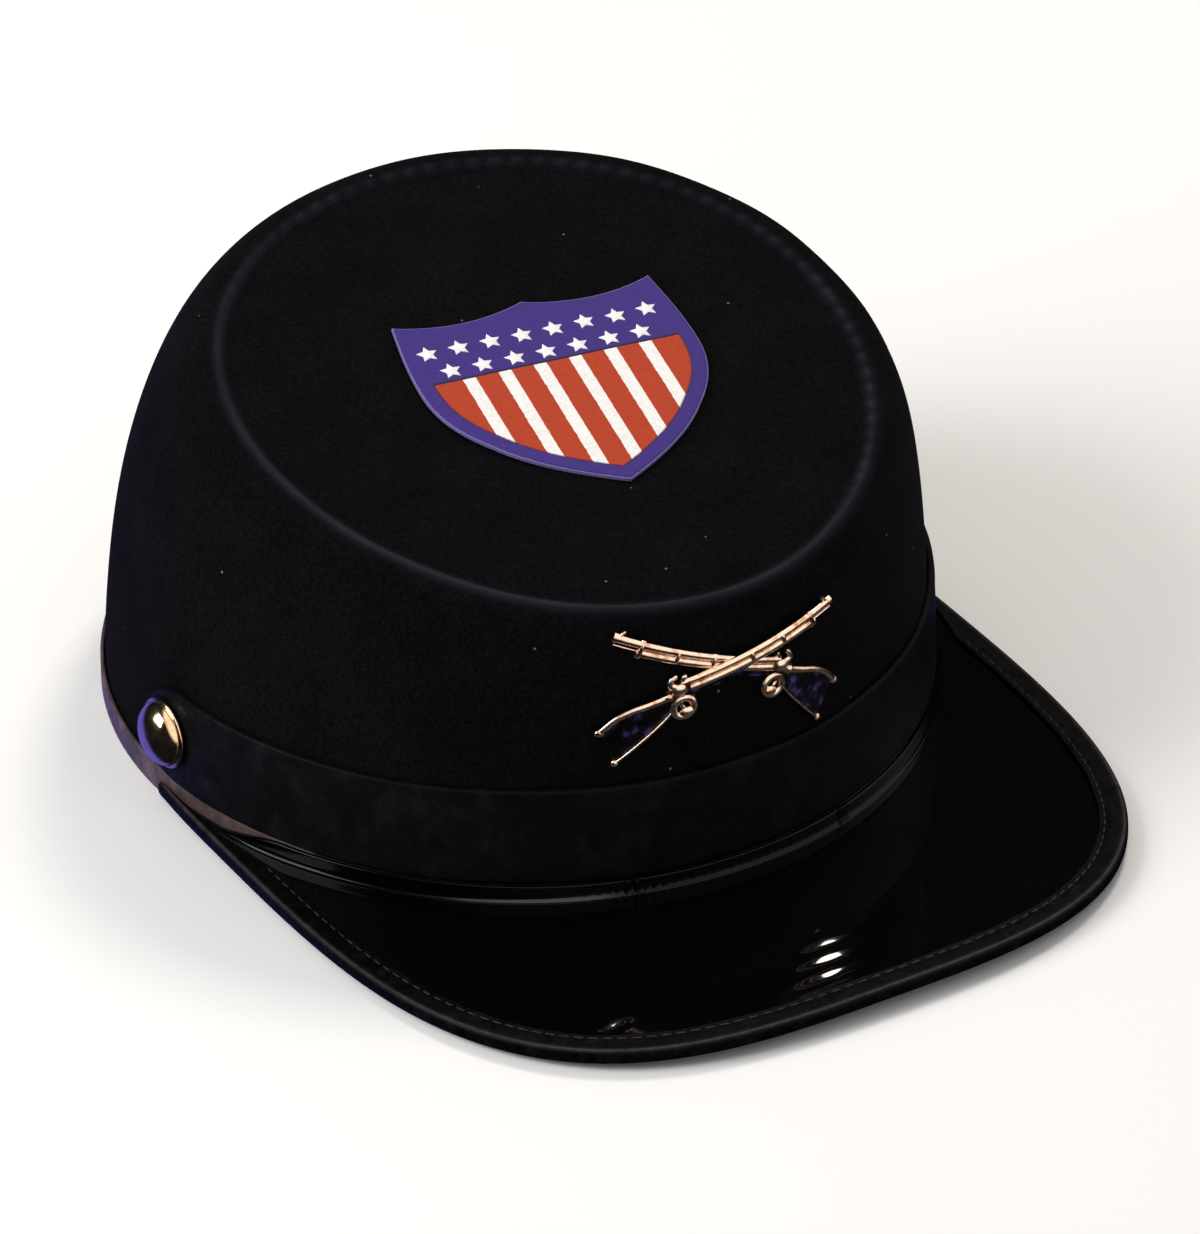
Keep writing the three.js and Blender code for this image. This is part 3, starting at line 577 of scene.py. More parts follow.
def addPeak(c, columns):
    # section at each column: bottom, rounded edge, top, hollow foot, gathered flange, its inner face
    edge, inward, depth, angle, even = columns
    junction = peakInset + c["lift"] + c["thickness"]
    degrees = np.degrees(angle) % 360
    side = np.minimum(np.abs(angle), np.pi - np.abs(angle))
    grown = smooth(np.radians(c["collarStart"]), np.radians(c["collarStart"] + c["collarRun"]), side)
    thin = np.minimum(c["collar"], (depth - peakInset) * c["collarMost"])
    foot = offWall(angle, junction, peakInner + thin * c["footWidth"])
    heel = offWall(angle, junction - c["thickness"], peakInner + 0 * angle)
    plate = plateRows(c, edge, inward, heel, foot)
    points = np.array(plate + flangeRows(c, angle, junction, grown, thin)).transpose(1, 0, 2)
    # the flange is dull, apart from a bright line at its foot on the front right
    gloss = np.ones(points.shape[:2])
    gloss[:, len(plate):] = c["dull"]
    bright = (1 - c["dull"]) * between(c["lineFrom"], c["lineTo"], 5, 8, degrees)
    gloss[:, len(plate):len(plate) + c["lineRows"]] += bright[:, None]
    shells = [(points, closedGrid(*points.shape[:2]), 0)]
    return addPiece("patent_peak", shells, [patentMaterial()], ["peak"], {"gloss": gloss})


def tapeMaterial():
    # plain-woven cotton tape coated with vinyl: matt black with a faint crosswise rib
    material, shader, place = newMaterial("coated_edge_tape", {"Specular IOR Level": 0.04})
    along, fold = [addNode(material, "Attribute", {"attribute_name": name}).outputs["Fac"]
                   for name in ("along", "fold")]
    turned = addNode(material, "Math", {"operation": "MULTIPLY", 0: along, 1: 2 * np.pi / 0.9})
    rib = addNode(material, "Math", {"operation": "SINE", 0: turned})
    dust = addNode(material, "TexNoise", {
        "Vector": place, "Scale": 1000 / 3, "Detail": 5.0, "Roughness": 0.7})
    tone = addNode(material, "ValToRGB", {
        0: dust, "ramp": [(0.35, "#040405"), (0.55, "#09090b"), (0.78, "#18161a")]})
    gloss = addNode(material, "MapRange", {
        "Value": dust, "From Min": 0.35, "From Max": 0.7, "To Min": 0.38, "To Max": 0.62})
    # painted highlight: a pale line along the tape's upper bend, broken up by the dust noise
    paintedSheenLine = addNode(material, "Math", {"operation": "MULTIPLY", 0: fold, 1: dust})
    colour = addNode(material, "Mix", {"data_type": "RGBA", 0: paintedSheenLine, 6: tone, 7: "#544c50"})
    ribs = addNode(material, "Bump", {"Height": rib, "Strength": 0.12, "Distance": 0.00006})
    bump = addNode(material, "Bump", {"Height": dust, "Normal": ribs, "Strength": 0.4, "Distance": 0.0001})
    setUp(material, shader, {"Base Color": colour.outputs[2], "Roughness": gloss, "Normal": bump})
    return material


def tapeRoof(c):
    # height of the tape's upper face over the peak's edge line
    return 2 * c["thickness"] + 2 * gap + vinylPeak["thickness"]


def addTape(c, columns):
    # a rounded channel over the peak's edge, pressed in along its row of stitches
    edge, inward, depth, angle, even = columns
    top = tapeRoof(c)
    thick, width = c["thickness"], c["width"]
    roof = top - thick
    outline = resampled(roundedOutline([
        (width, 0, 0.3), (0, 0, 1.3), (0, top, 1.3), (width, top, 0.3),
        (width, roof, 0.3), (thick, roof, 0.4), (thick, thick, 0.4), (width, thick, 0.3)], 8), 0.7)
    leg = np.minimum(width, depth * c["share"])
    inside, height = outline[None, :, 0], outline[None, :, 1]
    scale = ((leg - 1) / (width - 1))[:, None]
    inside = np.where(inside > 1, 1 + (inside - 1) * scale, inside)
    beat = 0.75 + 0.25 * np.cos(2 * np.pi * even / c["stitchSpacing"])[:, None]
    sewn = np.exp(-((inside - c["stitchInset"]) / 0.7) ** 2) * smooth(5.5, 6.3, leg)[:, None]
    pressed = c["press"] * beat * sewn
    upperSide = (height > roof + 0.1).astype(float)
    lowerSide = (height < thick - 0.1).astype(float)
    height = height - pressed * upperSide + pressed * lowerSide
    inside = inside + c["waver"] * (outline[None, :, 0] > 5) * ripple(edge, 9, 21)[:, None]
    points = edge[:, None] + inward[:, None] * inside[..., None] + np.array([0, 0, 1]) * height[..., None]
    # where the painted highlight runs, along the bend of the upper face
    fold = np.exp(-((inside - 0.8) / 0.35) ** 2) * upperSide
    attributes = {"along": np.broadcast_to(even[:, None], points.shape[:2]), "fold": fold}
    shells = [(points, closedGrid(*points.shape[:2]), 0)]
    return addPiece("edge_tape", shells, [tapeMaterial()], ["peak_binding"], attributes)


def beadShape(rows, columns):
    # unit ball as a grid, its poles closed when doubles merge
    polar = np.linspace(0, np.pi, rows)[:, None]
    around = np.linspace(0, 2 * np.pi, columns, endpoint=False)[None, :]
    sides = [np.sin(polar) * np.cos(around), np.sin(polar) * np.sin(around)]
    return np.stack([np.cos(polar) + 0 * around, *sides], -1)


def threadMaterial():
    # polyester sewing thread: dark, twisted, with a small bright glint on each stitch
    return mottledMaterial("polyester_thread", {"Roughness": 0.5, "Specular IOR Level": 0.25},
                           0.4, 2.0, [(0.35, "#101012"), (0.65, "#34333a")], 0.5)


def addStitches(c, columns):
    # one small spindle per stitch, along the tape's inner side, above and below
    edge, inward, depth, angle, even = columns
    wide = depth * c["share"] > 6.2
    place = np.arange(even[wide][0], even[wide][-1], c["stitchSpacing"])
    centre = np.stack([np.interp(place, even, edge[:, i]) for i in range(3)], -1)
    way = unit(np.stack([np.interp(place, even, inward[:, i]) for i in range(3)], -1))
    along = np.cross(way, [0, 0, 1])
    ball = beadShape(7, 8)
    one = np.array(gridFaces(*ball.shape[:2], False, True))
    starts = np.arange(len(place)) * ball.shape[0] * ball.shape[1]
    faces = (one[None] + starts[:, None, None]).reshape(-1, 4).tolist()
    shells = []
    for height in (tapeRoof(c) - c["press"] + 0.05, c["press"] - 0.05):
        middle = centre + way * c["stitchInset"] + np.array([0, 0, height])
        points = middle[:, None, None]
        points = points + along[:, None, None] * ball[..., :1] * c["stitchLength"] / 2
        points = points + way[:, None, None] * ball[..., 1:2] * c["thread"] / 2
        points = points + np.array([0, 0, 1]) * ball[..., 2:] * c["thread"] / 2
        shells.append((points, faces, 0))
    return addPiece("tape_stitches", shells, [threadMaterial()], [])


columns = peakColumns(vinylPeak)
addPeak(vinylPeak, columns)
addTape(edgeTape, columns)
addStitches(edgeTape, columns)


# Chin strap
chinStrap = {
    "sections": 420, "thickness": 1.5, "width": 23.4, "bottom": 6.9, "pastButton": 9.0,
    "buttonAngle": 3.75, "pillow": 0.16, "edgeRoll": 0.12, "waver": 0.25,
    "colours": ["#09090b", "#0f0f11", "#1a181c"], "roughness": (0.34, 0.54),
    "grain": 0.9, "relief": 0.00014, "specular": 0.04,
}


def addStrap(c):
    # a rounded flat section carried round the wall, drawn in to a half circle at both ends
    half, thick = c["width"] / 2, c["thickness"]
    middle = c["bottom"] + half
    halfTurn = np.pi / 2 - np.radians(c["buttonAngle"]) + c["pastButton"] / body["halfWidth"]
    roundTurn = half / body["halfWidth"]
    end = -halfTurn + roundTurn * (1 - np.cos(np.linspace(0, np.pi / 2, 22)))
    straight = np.linspace(-halfTurn + roundTurn, halfTurn - roundTurn, c["sections"])[1:-1]
    turn = np.concatenate([end, straight, -end[::-1]])[:, None]
    outline = resampled(roundedOutline([
        (-half, 0, 0.5), (half, 0, 0.5), (half, thick, 0.6), (-half, thick, 0.6)]), 1.3)
    left = np.minimum((halfTurn - np.abs(turn)) / roundTurn, 1)
    narrow = np.sqrt(np.maximum(1 - (1 - left) ** 2, 0))
    across, out = outline[None, :, 0], outline[None, :, 1]
    outerFace = smooth(0.5, 1, out / thick)
    edgeRoll = c["edgeRoll"] * np.exp(-((np.abs(across) - half + 1.5) / 0.9) ** 2)
    out = out + outerFace * (c["pillow"] * (1 - (across / half) ** 4) + edgeRoll - 0.08) * narrow
    uneven = c["waver"] * ripple(hemCircle(front + turn), 60, 31)
    height = middle + across * narrow + uneven * (np.abs(across) / half)
    points = offWall(front + turn + 0 * height, height, gap + out)
    shells = [(points, gridFaces(*points.shape[:2], False, True), 0)]
    return addPiece("chin_strap", shells, [leatherclothMaterial("leathercloth_black", c)],
                    ["strap"])


addStrap(chinStrap)


# Gilt shank buttons
giltButton = {
    "sides": 96, "radius": 8.2, "rim": 1.0, "roll": 0.55, "dome": 4.4,
    "shank": 1.6, "foot": 4.0, "footThickness": 1.0, "felt": 2.0,
}


def giltMaterial(name, base, roughness, tarnish):
    # gilt brass, stamped or cast, then polished: a warm mirror, redder and duller in random patches
    material, shader, place = newMaterial(name, {"Metallic": 1.0})
    cloud = addNode(material, "TexNoise", {
        "Vector": place, "Scale": 1000 / 2.5, "Detail": 4.0, "Roughness": 0.6})
    scratch = addNode(material, "TexNoise", {"Vector": place, "Scale": 1000 / 0.35, "Detail": 2.0})
    tone = addNode(material, "ValToRGB", {
        0: cloud, "ramp": [(0.3, tarnish), (0.5, base), (0.8, "#f6e2bd")]})
    gloss = addNode(material, "MapRange", {
        "Value": cloud, "From Min": 0.3, "From Max": 0.7, "To Min": roughness[0], "To Max": roughness[1]})
    bump = addNode(material, "Bump", {"Height": scratch, "Strength": 0.12, "Distance": 0.00006})
    setUp(material, shader, {"Base Color": tone, "Roughness": gloss, "Normal": bump})
    return material


def buttonShell(c, side):
    # a profile turned round the wall's normal: washer, shank, rolled rim, groove and dome
    seat = gap + chinStrap["thickness"] + gap
    washer = -c["felt"] - gap
    under = washer - c["footThickness"]
    bend = np.linspace(0, np.pi / 2, 26)
    rise = seat + c["rim"] - 0.1 + (c["dome"] + 0.1) * np.sin(bend)
    dome = np.stack([(c["radius"] - 0.75) * np.cos(bend), rise], -1)
    lip = np.radians(np.linspace(-90, 120, 14))
    rolled = c["roll"] * np.stack([np.cos(lip), np.sin(lip)], -1)
    rolled = rolled + [c["radius"] - c["roll"], seat + c["roll"]]
    hidden = [[0, under], [c["foot"] - 0.3, under], [c["foot"], under + 0.3],
              [c["foot"], washer], [c["shank"], washer], [c["shank"], seat + 0.1]]
    profile = np.concatenate([hidden, rolled, dome])
    around = np.linspace(0, 2 * np.pi, c["sides"], endpoint=False)[None, :]
    radius, out = profile[:, :1], profile[:, 1:]
    angle = np.array(front + side * (np.pi / 2 - np.radians(chinStrap["buttonAngle"])))
    share = shareAt(angle, chinStrap["bottom"] + chinStrap["width"] / 2)
    normal = wallNormal(angle, share)
    sideways = unit(np.cross([0, 0, 1], normal))
    upward = np.cross(normal, sideways)
    points = wallPoint(angle, share) + (radius * np.cos(around))[..., None] * sideways
    points = points + (radius * np.sin(around))[..., None] * upward + (out + 0 * around)[..., None] * normal
    return points, gridFaces(*points.shape[:2], False, True), 0


stampedGilt = giltMaterial("stamped_gilt_brass", "#efd6ae", (0.1, 0.18), "#dcb88a")
for side, name in ((-1, "button_right"), (1, "button_left")):
    addPiece("gilt_" + name, [buttonShell(giltButton, side)], [stampedGilt], [name], sharp=50)


# Crossed rifles pin
riflePin = {
    "aside": -2.6, "height": 55.4, "turn": -5.2, "cross": 15.2, "upperMuzzle": 27.4, "lowerMuzzle": 30.4,
    "lap": 0.9, "depth": 1.2, "felt": 2.0,
    "pinSpread": 10.0, "pin": 0.6, "clutch": 2.6, "clutchThickness": 1.0, "pinSides": 20,
}


# A rifle drawn flat, in millimetres from the crossing: X towards the muzzle, Y up, and a height
# over the middle of its depth. A share is of the muzzle's distance.
rifleShape = {
    # where a bar starts and ends, each as a share and millimetres, its y, its height, half its
    # width, half its thickness, rows and sides
    "bars": {
        "barrel": (0, -12.2, 1, 0, 0.9, 0, 0.82, 0.68, 40, 12),
        "muzzle": (1, -0.9, 1, 0.1, 0.9, 0, 0.98, 0.78, 6, 12),
        "foreEnd": (0, -11.8, 0.79, 0, -0.95, 0, 0.86, 0.56, 40, 12),
        "web": (0, -11.5, 0.77, 0, 0, -0.3, 0.5, 0.22, 40, 12),
        "ramrod": (0.2, 0, 0.98, 0, -0.55, -0.1, 0.24, 0.3, 40, 8),
    },
    "bands": [(0.76, 2.15), (0.16, 1.95), (0.46, 1.75)],  # share and half length
    # places along a rod, rows, half its width at both ends, half its thickness; the sight's X
    # values are shares
    "rods": {
        "sight": ([(0.955, 1.2, 0), (0.945, 2.0, 0), (0.93, 2.5, 0)], 8, 0.55, 0.3, 0.45),
        "cock": ([(-13.3, 0.2, 0.3), (-14.6, 1.4, 0.35), (-14.2, 2.6, 0.3), (-13.0, 3.2, 0.2)],
                 20, 0.85, 0.5, 0.55),
        "nipple": ([(-11.9, 1.3, 0), (-11.4, 2.1, 0), (-10.9, 2.3, 0)], 8, 0.55, 0.55, 0.55),
        "trigger": ([(-12.2, -2.2, 0), (-12.9, -3.9, 0), (-12.4, -5.2, 0)], 8, 0.45, 0.45, 0.45),
        "comb": ([(-13.6, -0.9, 0.15), (-16.0, -1.5, 0.15), (-19.5, -1.9, 0.15), (-23.0, -2.2, 0.15),
                  (-26.0, -3.1, 0.15), (-28.3, -4.6, 0.15), (-29.6, -5.6, 0.15)], 48, 0.85, 0.68, 0.62),
        "belly": ([(-14.0, -4.4, 0), (-15.5, -6.0, 0), (-18.0, -8.0, 0), (-21.0, -10.1, 0),
                   (-24.0, -12.1, 0), (-26.0, -13.4, 0), (-27.4, -14.2, 0)], 48, 0.3, 0.36, 0.45),
    },
    "guard": {"x": -12.4, "y": -5.2, "halfLength": 2.2, "halfHeight": 2.35, "wire": 0.8, "thick": 0.62},
    # middle, half sizes and sides
    "lumps": {
        "lockBoss": ((-12.9, -0.3, 0.45), (1.6, 1.45, 0.8), 18),
        "screw": ((-15.3, -1.3, 0.5), (0.9, 0.9, 0.7), 14),
        "guardFoot": ((-11.9, -6.6, 0.1), (1.7, 1.35, 0.75), 14),
        "heel": ((-29.6, -5.6, 0.1), (1.05, 0.95, 0.75), 14),
        "toe": ((-27.4, -14.2, 0), (0.75, 0.9, 0.6), 14),
    },
    # lower and upper edge, rows, base, top as a share of the depth, material number
    "plates": {
        "lock": ([(-10.5, -1.5), (-13.0, -2.1), (-15.6, -2.6)],
                 [(-10.5, 1.2), (-13.0, 1.3), (-15.6, 0.2)], 14, 0.0, 1.02, 0),
        "recess": ([(-10.6, -3.0), (-4.0, -3.1), (2.0, -2.6), (6.0, -1.9)],
                   [(-10.6, -1.4), (-4.0, -1.4), (2.0, -1.4), (6.0, -1.4)], 20, 0.05, 0.4, 1),
    },
}


def turnedFlat(flat, angle):
    # a flat place turned about its origin; a height, if it has one, stays
    x = flat[..., 0] * np.cos(angle) - flat[..., 1] * np.sin(angle)
    y = flat[..., 0] * np.sin(angle) + flat[..., 1] * np.cos(angle)
    return np.concatenate([x[..., None], y[..., None], flat[..., 2:]], -1)


def tube(path, high, thick, around=12):
    # an oval section carried along a flat path: high across it in the plane, thick out of it
    path = np.asarray(path, float)
    count = len(path)
    high = np.broadcast_to(high, count)[:, None]
    thick = np.broadcast_to(thick, count)[:, None]
    way = np.gradient(path[:, :2], axis=0)
    normal = unit(np.stack([-way[:, 1], way[:, 0], 0 * way[:, 0]], -1))
    turn = np.linspace(0, 2 * np.pi, around, endpoint=False)[None, :]
    points = path[:, None] + normal[:, None] * (high * np.cos(turn))[..., None]
    points = points + np.array([0, 0, 1]) * (thick * np.sin(turn))[..., None]
    caps = np.repeat(path[[0, -1]][:, None], around, axis=1)
    points = np.concatenate([caps[:1], points, caps[1:]])
    return points, gridFaces(count + 2, around, False, True)


def curve(points, count):
    # a smooth path through a few points (Catmull-Rom)
    p = np.asarray(points, float)
    p = np.concatenate([[2 * p[0] - p[1]], p, [2 * p[-1] - p[-2]]])
    t = np.linspace(0, len(p) - 3 - 1e-9, count)
    i = t.astype(int)
    u = (t - i)[:, None]
    a, b, c, d = p[i], p[i + 1], p[i + 2], p[i + 3]
    squared, cubed = 2 * a - 5 * b + 4 * c - d, 3 * b - a - 3 * c + d
    return 0.5 * (2 * b + (c - a) * u + squared * u ** 2 + cubed * u ** 3)


def slab(lower, upper, base, top):
    # a flat piece between two edge paths, its rim rounded by rows at three heights
    middle = (base + top) / 2
    inset = (upper - lower) * 0.06
    ring = [(lower + inset, base), (lower, middle), (lower + inset, top),
            (upper - inset, top), (upper, middle), (upper - inset, base)]
    points = np.stack([np.concatenate([xy, np.full((len(xy), 1), z)], -1) for xy, z in ring], 1)
    return points, closedGrid(*points.shape[:2])


def rifleShells(c, muzzle):
    # bars, bands, bent rods, lumps and plates, each (points, faces, material number)
    shape = rifleShape
    z = c["depth"] / 2
    parts, paths = [], {}
    for fromShare, fromX, toShare, toX, y, lift, high, thick, rows, sides in shape["bars"].values():
        x = np.linspace(fromShare * muzzle + fromX, toShare * muzzle + toX, rows)
        path = np.stack([x, np.full(rows, y), np.full(rows, z + lift)], -1)
        parts.append(tube(path, high, thick, sides))
    t = np.linspace(-1, 1, 9)
    for share, tall in shape["bands"]:
        path = np.stack([0 * t + share * muzzle, 0.92 * tall * t - 0.05, 0 * t + z + 0.1], -1)
        parts.append(tube(path, 0.66, 0.74 * np.sqrt(np.clip(1.06 - t ** 2, 0.06, 1))))
    for name, (places, rows, first, last, thick) in shape["rods"].items():
        stretch = muzzle if name == "sight" else 1
        paths[name] = curve(np.array(places) * [stretch, 1, 1] + [0, 0, z], rows)
        parts.append(tube(paths[name], np.linspace(first, last, rows), thick))
    swing = np.radians(np.linspace(-180, 180, 32))
    g = shape["guard"]
    ring = np.stack([g["x"] + g["halfLength"] * np.cos(swing), g["y"] + g["halfHeight"] * np.sin(swing),
                     np.full(32, z)], -1)
    parts.append(tube(ring, g["wire"], g["thick"]))
    for middle, size, sides in shape["lumps"].values():
        lump = beadShape(9, sides) * size + middle + [0, 0, z]
        parts.append((lump, gridFaces(9, sides, False, True)))
    shells = [(*part, 0) for part in parts]
    for lower, upper, rows, base, top, number in shape["plates"].values():
        plate = slab(curve(lower, rows), curve(upper, rows), base, c["depth"] * top)
        shells.append((*plate, number))
    stock = slab(paths["belly"][:, :2], paths["comb"][:, :2], 0.05, c["depth"] * 0.36)
    return shells + [(*stock, 1)]


def onWall(c, flat):
    # bends a flat place onto the front wall: X round the crown, Y up it, Z out along its normal
    flat = turnedFlat(flat, np.radians(c["turn"]))
    middle = shareAt(front, c["height"])
    step = 1e-3
    across = wallPoint(front + step, middle) - wallPoint(front - step, middle)
    angle = front + (c["aside"] + flat[..., 0]) / (np.linalg.norm(across) / (2 * step))
    share = shareAt(angle, c["height"] + flat[..., 1])
    return wallPoint(angle, share) + wallNormal(angle, share) * flat[..., 2:]


def recessMaterial():
    # the sunk stocks: a dark, smooth surface with violet-blue patches, a painted reflection
    return mottledMaterial("dark_cast_brass_painted_reflection", {"Metallic": 0.5, "Roughness": 0.3},
                           3.0, 2.0, [(0.48, "#050508"), (0.58, "#241e44"), (0.7, "#5f559c")], 0.3)


def addRifles(c):
    # two rifles turned either way, the second a lap higher, and two pins with their clutches
    cross = np.radians(c["cross"])
    pair = ((-cross, -1, gap, c["lowerMuzzle"]), (cross, 1, gap + c["lap"], c["upperMuzzle"]))
    shells = []
    for turn, flip, base, muzzle in pair:
        for points, faces, number in rifleShells(c, muzzle):
            flat = turnedFlat(points * [flip, 1, 1], turn) + [0, 0, base]
            shells.append((onWall(c, flat), faces, number))
    inside = -c["felt"] - gap
    clutch, end = c["clutch"], inside - c["clutchThickness"]
    profile = np.array([[0, end], [clutch - 0.3, end], [clutch, inside - 0.7], [clutch - 0.2, inside],
                        [c["pin"], inside], [c["pin"], gap + 0.7], [0, gap + 0.7]])
    radius, out = profile[:, :1], profile[:, 1:]
    around = np.linspace(0, 2 * np.pi, c["pinSides"], endpoint=False)[None, :]
    turned = np.stack([radius * np.cos(around), radius * np.sin(around), out + 0 * around], -1)
    for side in (-1, 1):
        centre = c["pinSpread"] * np.array([side * np.cos(cross), np.sin(cross), 0])
        shells.append((onWall(c, centre + turned), gridFaces(*turned.shape[:2], False, True), 0))
    materials = [giltMaterial("cast_gilt_brass", "#fbe2cc", (0.16, 0.3), "#c88c68"), recessMaterial()]
    return addPiece("crossed_rifles", shells, materials, ["rifles_badge"], sharp=48)


addRifles(riflePin)


# Shield patch
shieldPatch = {
    "halfWidth": 31.0, "length": 62.2, "aside": 6.0, "behind": 25.4, "turn": -7.0, "dip": 3.0,
    "thickness": 1.0, "bulge": 0.07, "bulgeEnd": 0.7, "shoulder": 0.35, "curve": 2.6,
    "border": 3.7, "chief": 20.8, "red": 5.4, "white": 3.05, "edgeLine": 0.3, "innerLine": 0.3,
    "rimDrop": 0.3, "rimWidth": 0.7, "puff": 0.05, "puffLength": 14,
    "star": 2.5, "starWaist": 0.5, "starJitter": 0.15, "starHeight": 0.2,
    "starRows": [(8, -26.9, 25.9, -11.0), (7, -24.0, 21.6, -17.7)],  # number, first, last, down
}


def shieldPoint(c, across, down):
    # across -1 to 1, down 0 to 1: the sides bulge by half a sine, close in below the shoulder, and
    # the top dips twice
    past = np.maximum(down - c["shoulder"], 0) / (1 - c["shoulder"])
    bulge = c["bulge"] * np.sin(np.pi * np.minimum(down / c["bulgeEnd"], 1))
    x = across * c["halfWidth"] * (1 + bulge) * (1 - past ** c["curve"])
    dips = -c["dip"] * np.abs(np.sin(np.pi * np.abs(across))) ** 0.8
    y = -down * c["length"] + dips * (1 - down) ** 3
    return np.stack([x, y], -1)


def onDisc(c, flat, height):
    # turns and moves a flat place of the shield to its spot on the disc
    turned = turnedFlat(flat, np.radians(c["turn"]))
    across = (turned[..., 0] + c["aside"])[..., None] * discAcross
    along = (turned[..., 1] + c["behind"])[..., None] * discAlong
    return discMiddle + across + along + np.asarray(height)[..., None] * discNormal


def printMaterial(c):
    # screen print on twill: flat inks, each slightly uneven where it sits on the threads.
    # A twill thread of 0.3 mm is drawn at 0.8 mm so that it shows.
    material, shader, place = newMaterial("screen_printed_twill", {
        "Roughness": 0.72, "Specular IOR Level": 0.3})
    period = c["red"] + c["white"]
    start = (7 * c["red"] + 6 * c["white"]) / 2 + period * 2
    sums = {name: addNode(material, "Attribute", {"attribute_name": name}).outputs["Fac"]
            for name in ("across", "down", "edge")}
    sums["uneven"] = addNode(material, "TexNoise", {
        "Vector": place, "Scale": 1000 / 1.1, "Detail": 3.0}).outputs[0]
    # name, operation and inputs of each step: stripes, field, and a thin dark line round the field
    for name, operation, *inputs in [
        ("nudge", "MULTIPLY_ADD", "uneven", 0.35, -0.175),
        ("nudgedAcross", "ADD", "across", "nudge"),
        ("fromStart", "ADD", "nudgedAcross", start),
        ("stripe", "MODULO", "fromStart", period),
        ("redStripe", "LESS_THAN", "stripe", c["red"]),
        ("aside", "ABSOLUTE", "across"),
        ("outermost", "GREATER_THAN", "aside", start - period * 2 - 1),
        ("red", "MAXIMUM", "redStripe", "outermost"),
        ("nudgedEdge", "ADD", "edge", "nudge"),
        ("below", "GREATER_THAN", "down", c["chief"]),
        ("within", "GREATER_THAN", "nudgedEdge", c["border"]),
        ("field", "MULTIPLY", "below", "within"),
        ("outside", "SUBTRACT", 1.0, "field"),
        ("nearTop", "COMPARE", "down", c["chief"], c["innerLine"]),
        ("nearBorder", "COMPARE", "edge", c["border"], c["innerLine"]),
        ("inside", "GREATER_THAN", "edge", c["border"]),
        ("topLine", "MULTIPLY", "nearTop", "inside"),
        ("sideLine", "MULTIPLY", "nearBorder", "below"),
        ("faintLine", "MULTIPLY", "sideLine", 0.55),
        ("innerLine", "MAXIMUM", "topLine", "faintLine"),
        ("edgeLine", "LESS_THAN", "nudgedEdge", c["edgeLine"]),
        ("slant", "ADD", "across", "down"),
    ]:
        values = {i: sums.get(value, value) for i, value in enumerate(inputs)}
        sums[name] = addNode(material, "Math", {"operation": operation, **values}).outputs[0]
    # each ink is laid over the one before where its mask is 1
    ink = "#fbf9f6"
    inks = {"red": "#b83c1a", "outside": "#3c2780", "innerLine": "#1e1636", "edgeLine": "#7269a0"}
    for mask, colour in inks.items():
        ink = addNode(material, "Mix", {"data_type": "RGBA", 0: sums[mask], 6: ink, 7: colour}).outputs[2]
    wear = addNode(material, "ValToRGB", {0: sums["uneven"], "ramp": [(0.3, "#f1f1f1"), (0.6, "#ffffff")]})
    worn = addNode(material, "Mix", {"data_type": "RGBA", "blend_type": "MULTIPLY", 0: 1.0, 6: ink, 7: wear})
    ridge = addNode(material, "CombineXYZ", {0: sums["slant"], 1: sums["down"]})
    twill = addNode(material, "TexWave", {"Vector": ridge, "Scale": 0.4, "Distortion": 0.6})
    bump = addNode(material, "Bump", {"Height": twill.outputs[1], "Strength": 0.25, "Distance": 0.0001})
    setUp(material, shader, {"Base Color": worn.outputs[2], "Normal": bump})
    return material


def starMaterial():
    # thick white screen ink, standing a little proud of the cloth
    return mottledMaterial("raised_white_ink", {"Roughness": 0.6, "Specular IOR Level": 0.35},
                           0.8, 3.0, [(0.3, "#e8e4ee"), (0.6, "#fdfcfa")], 0.3)


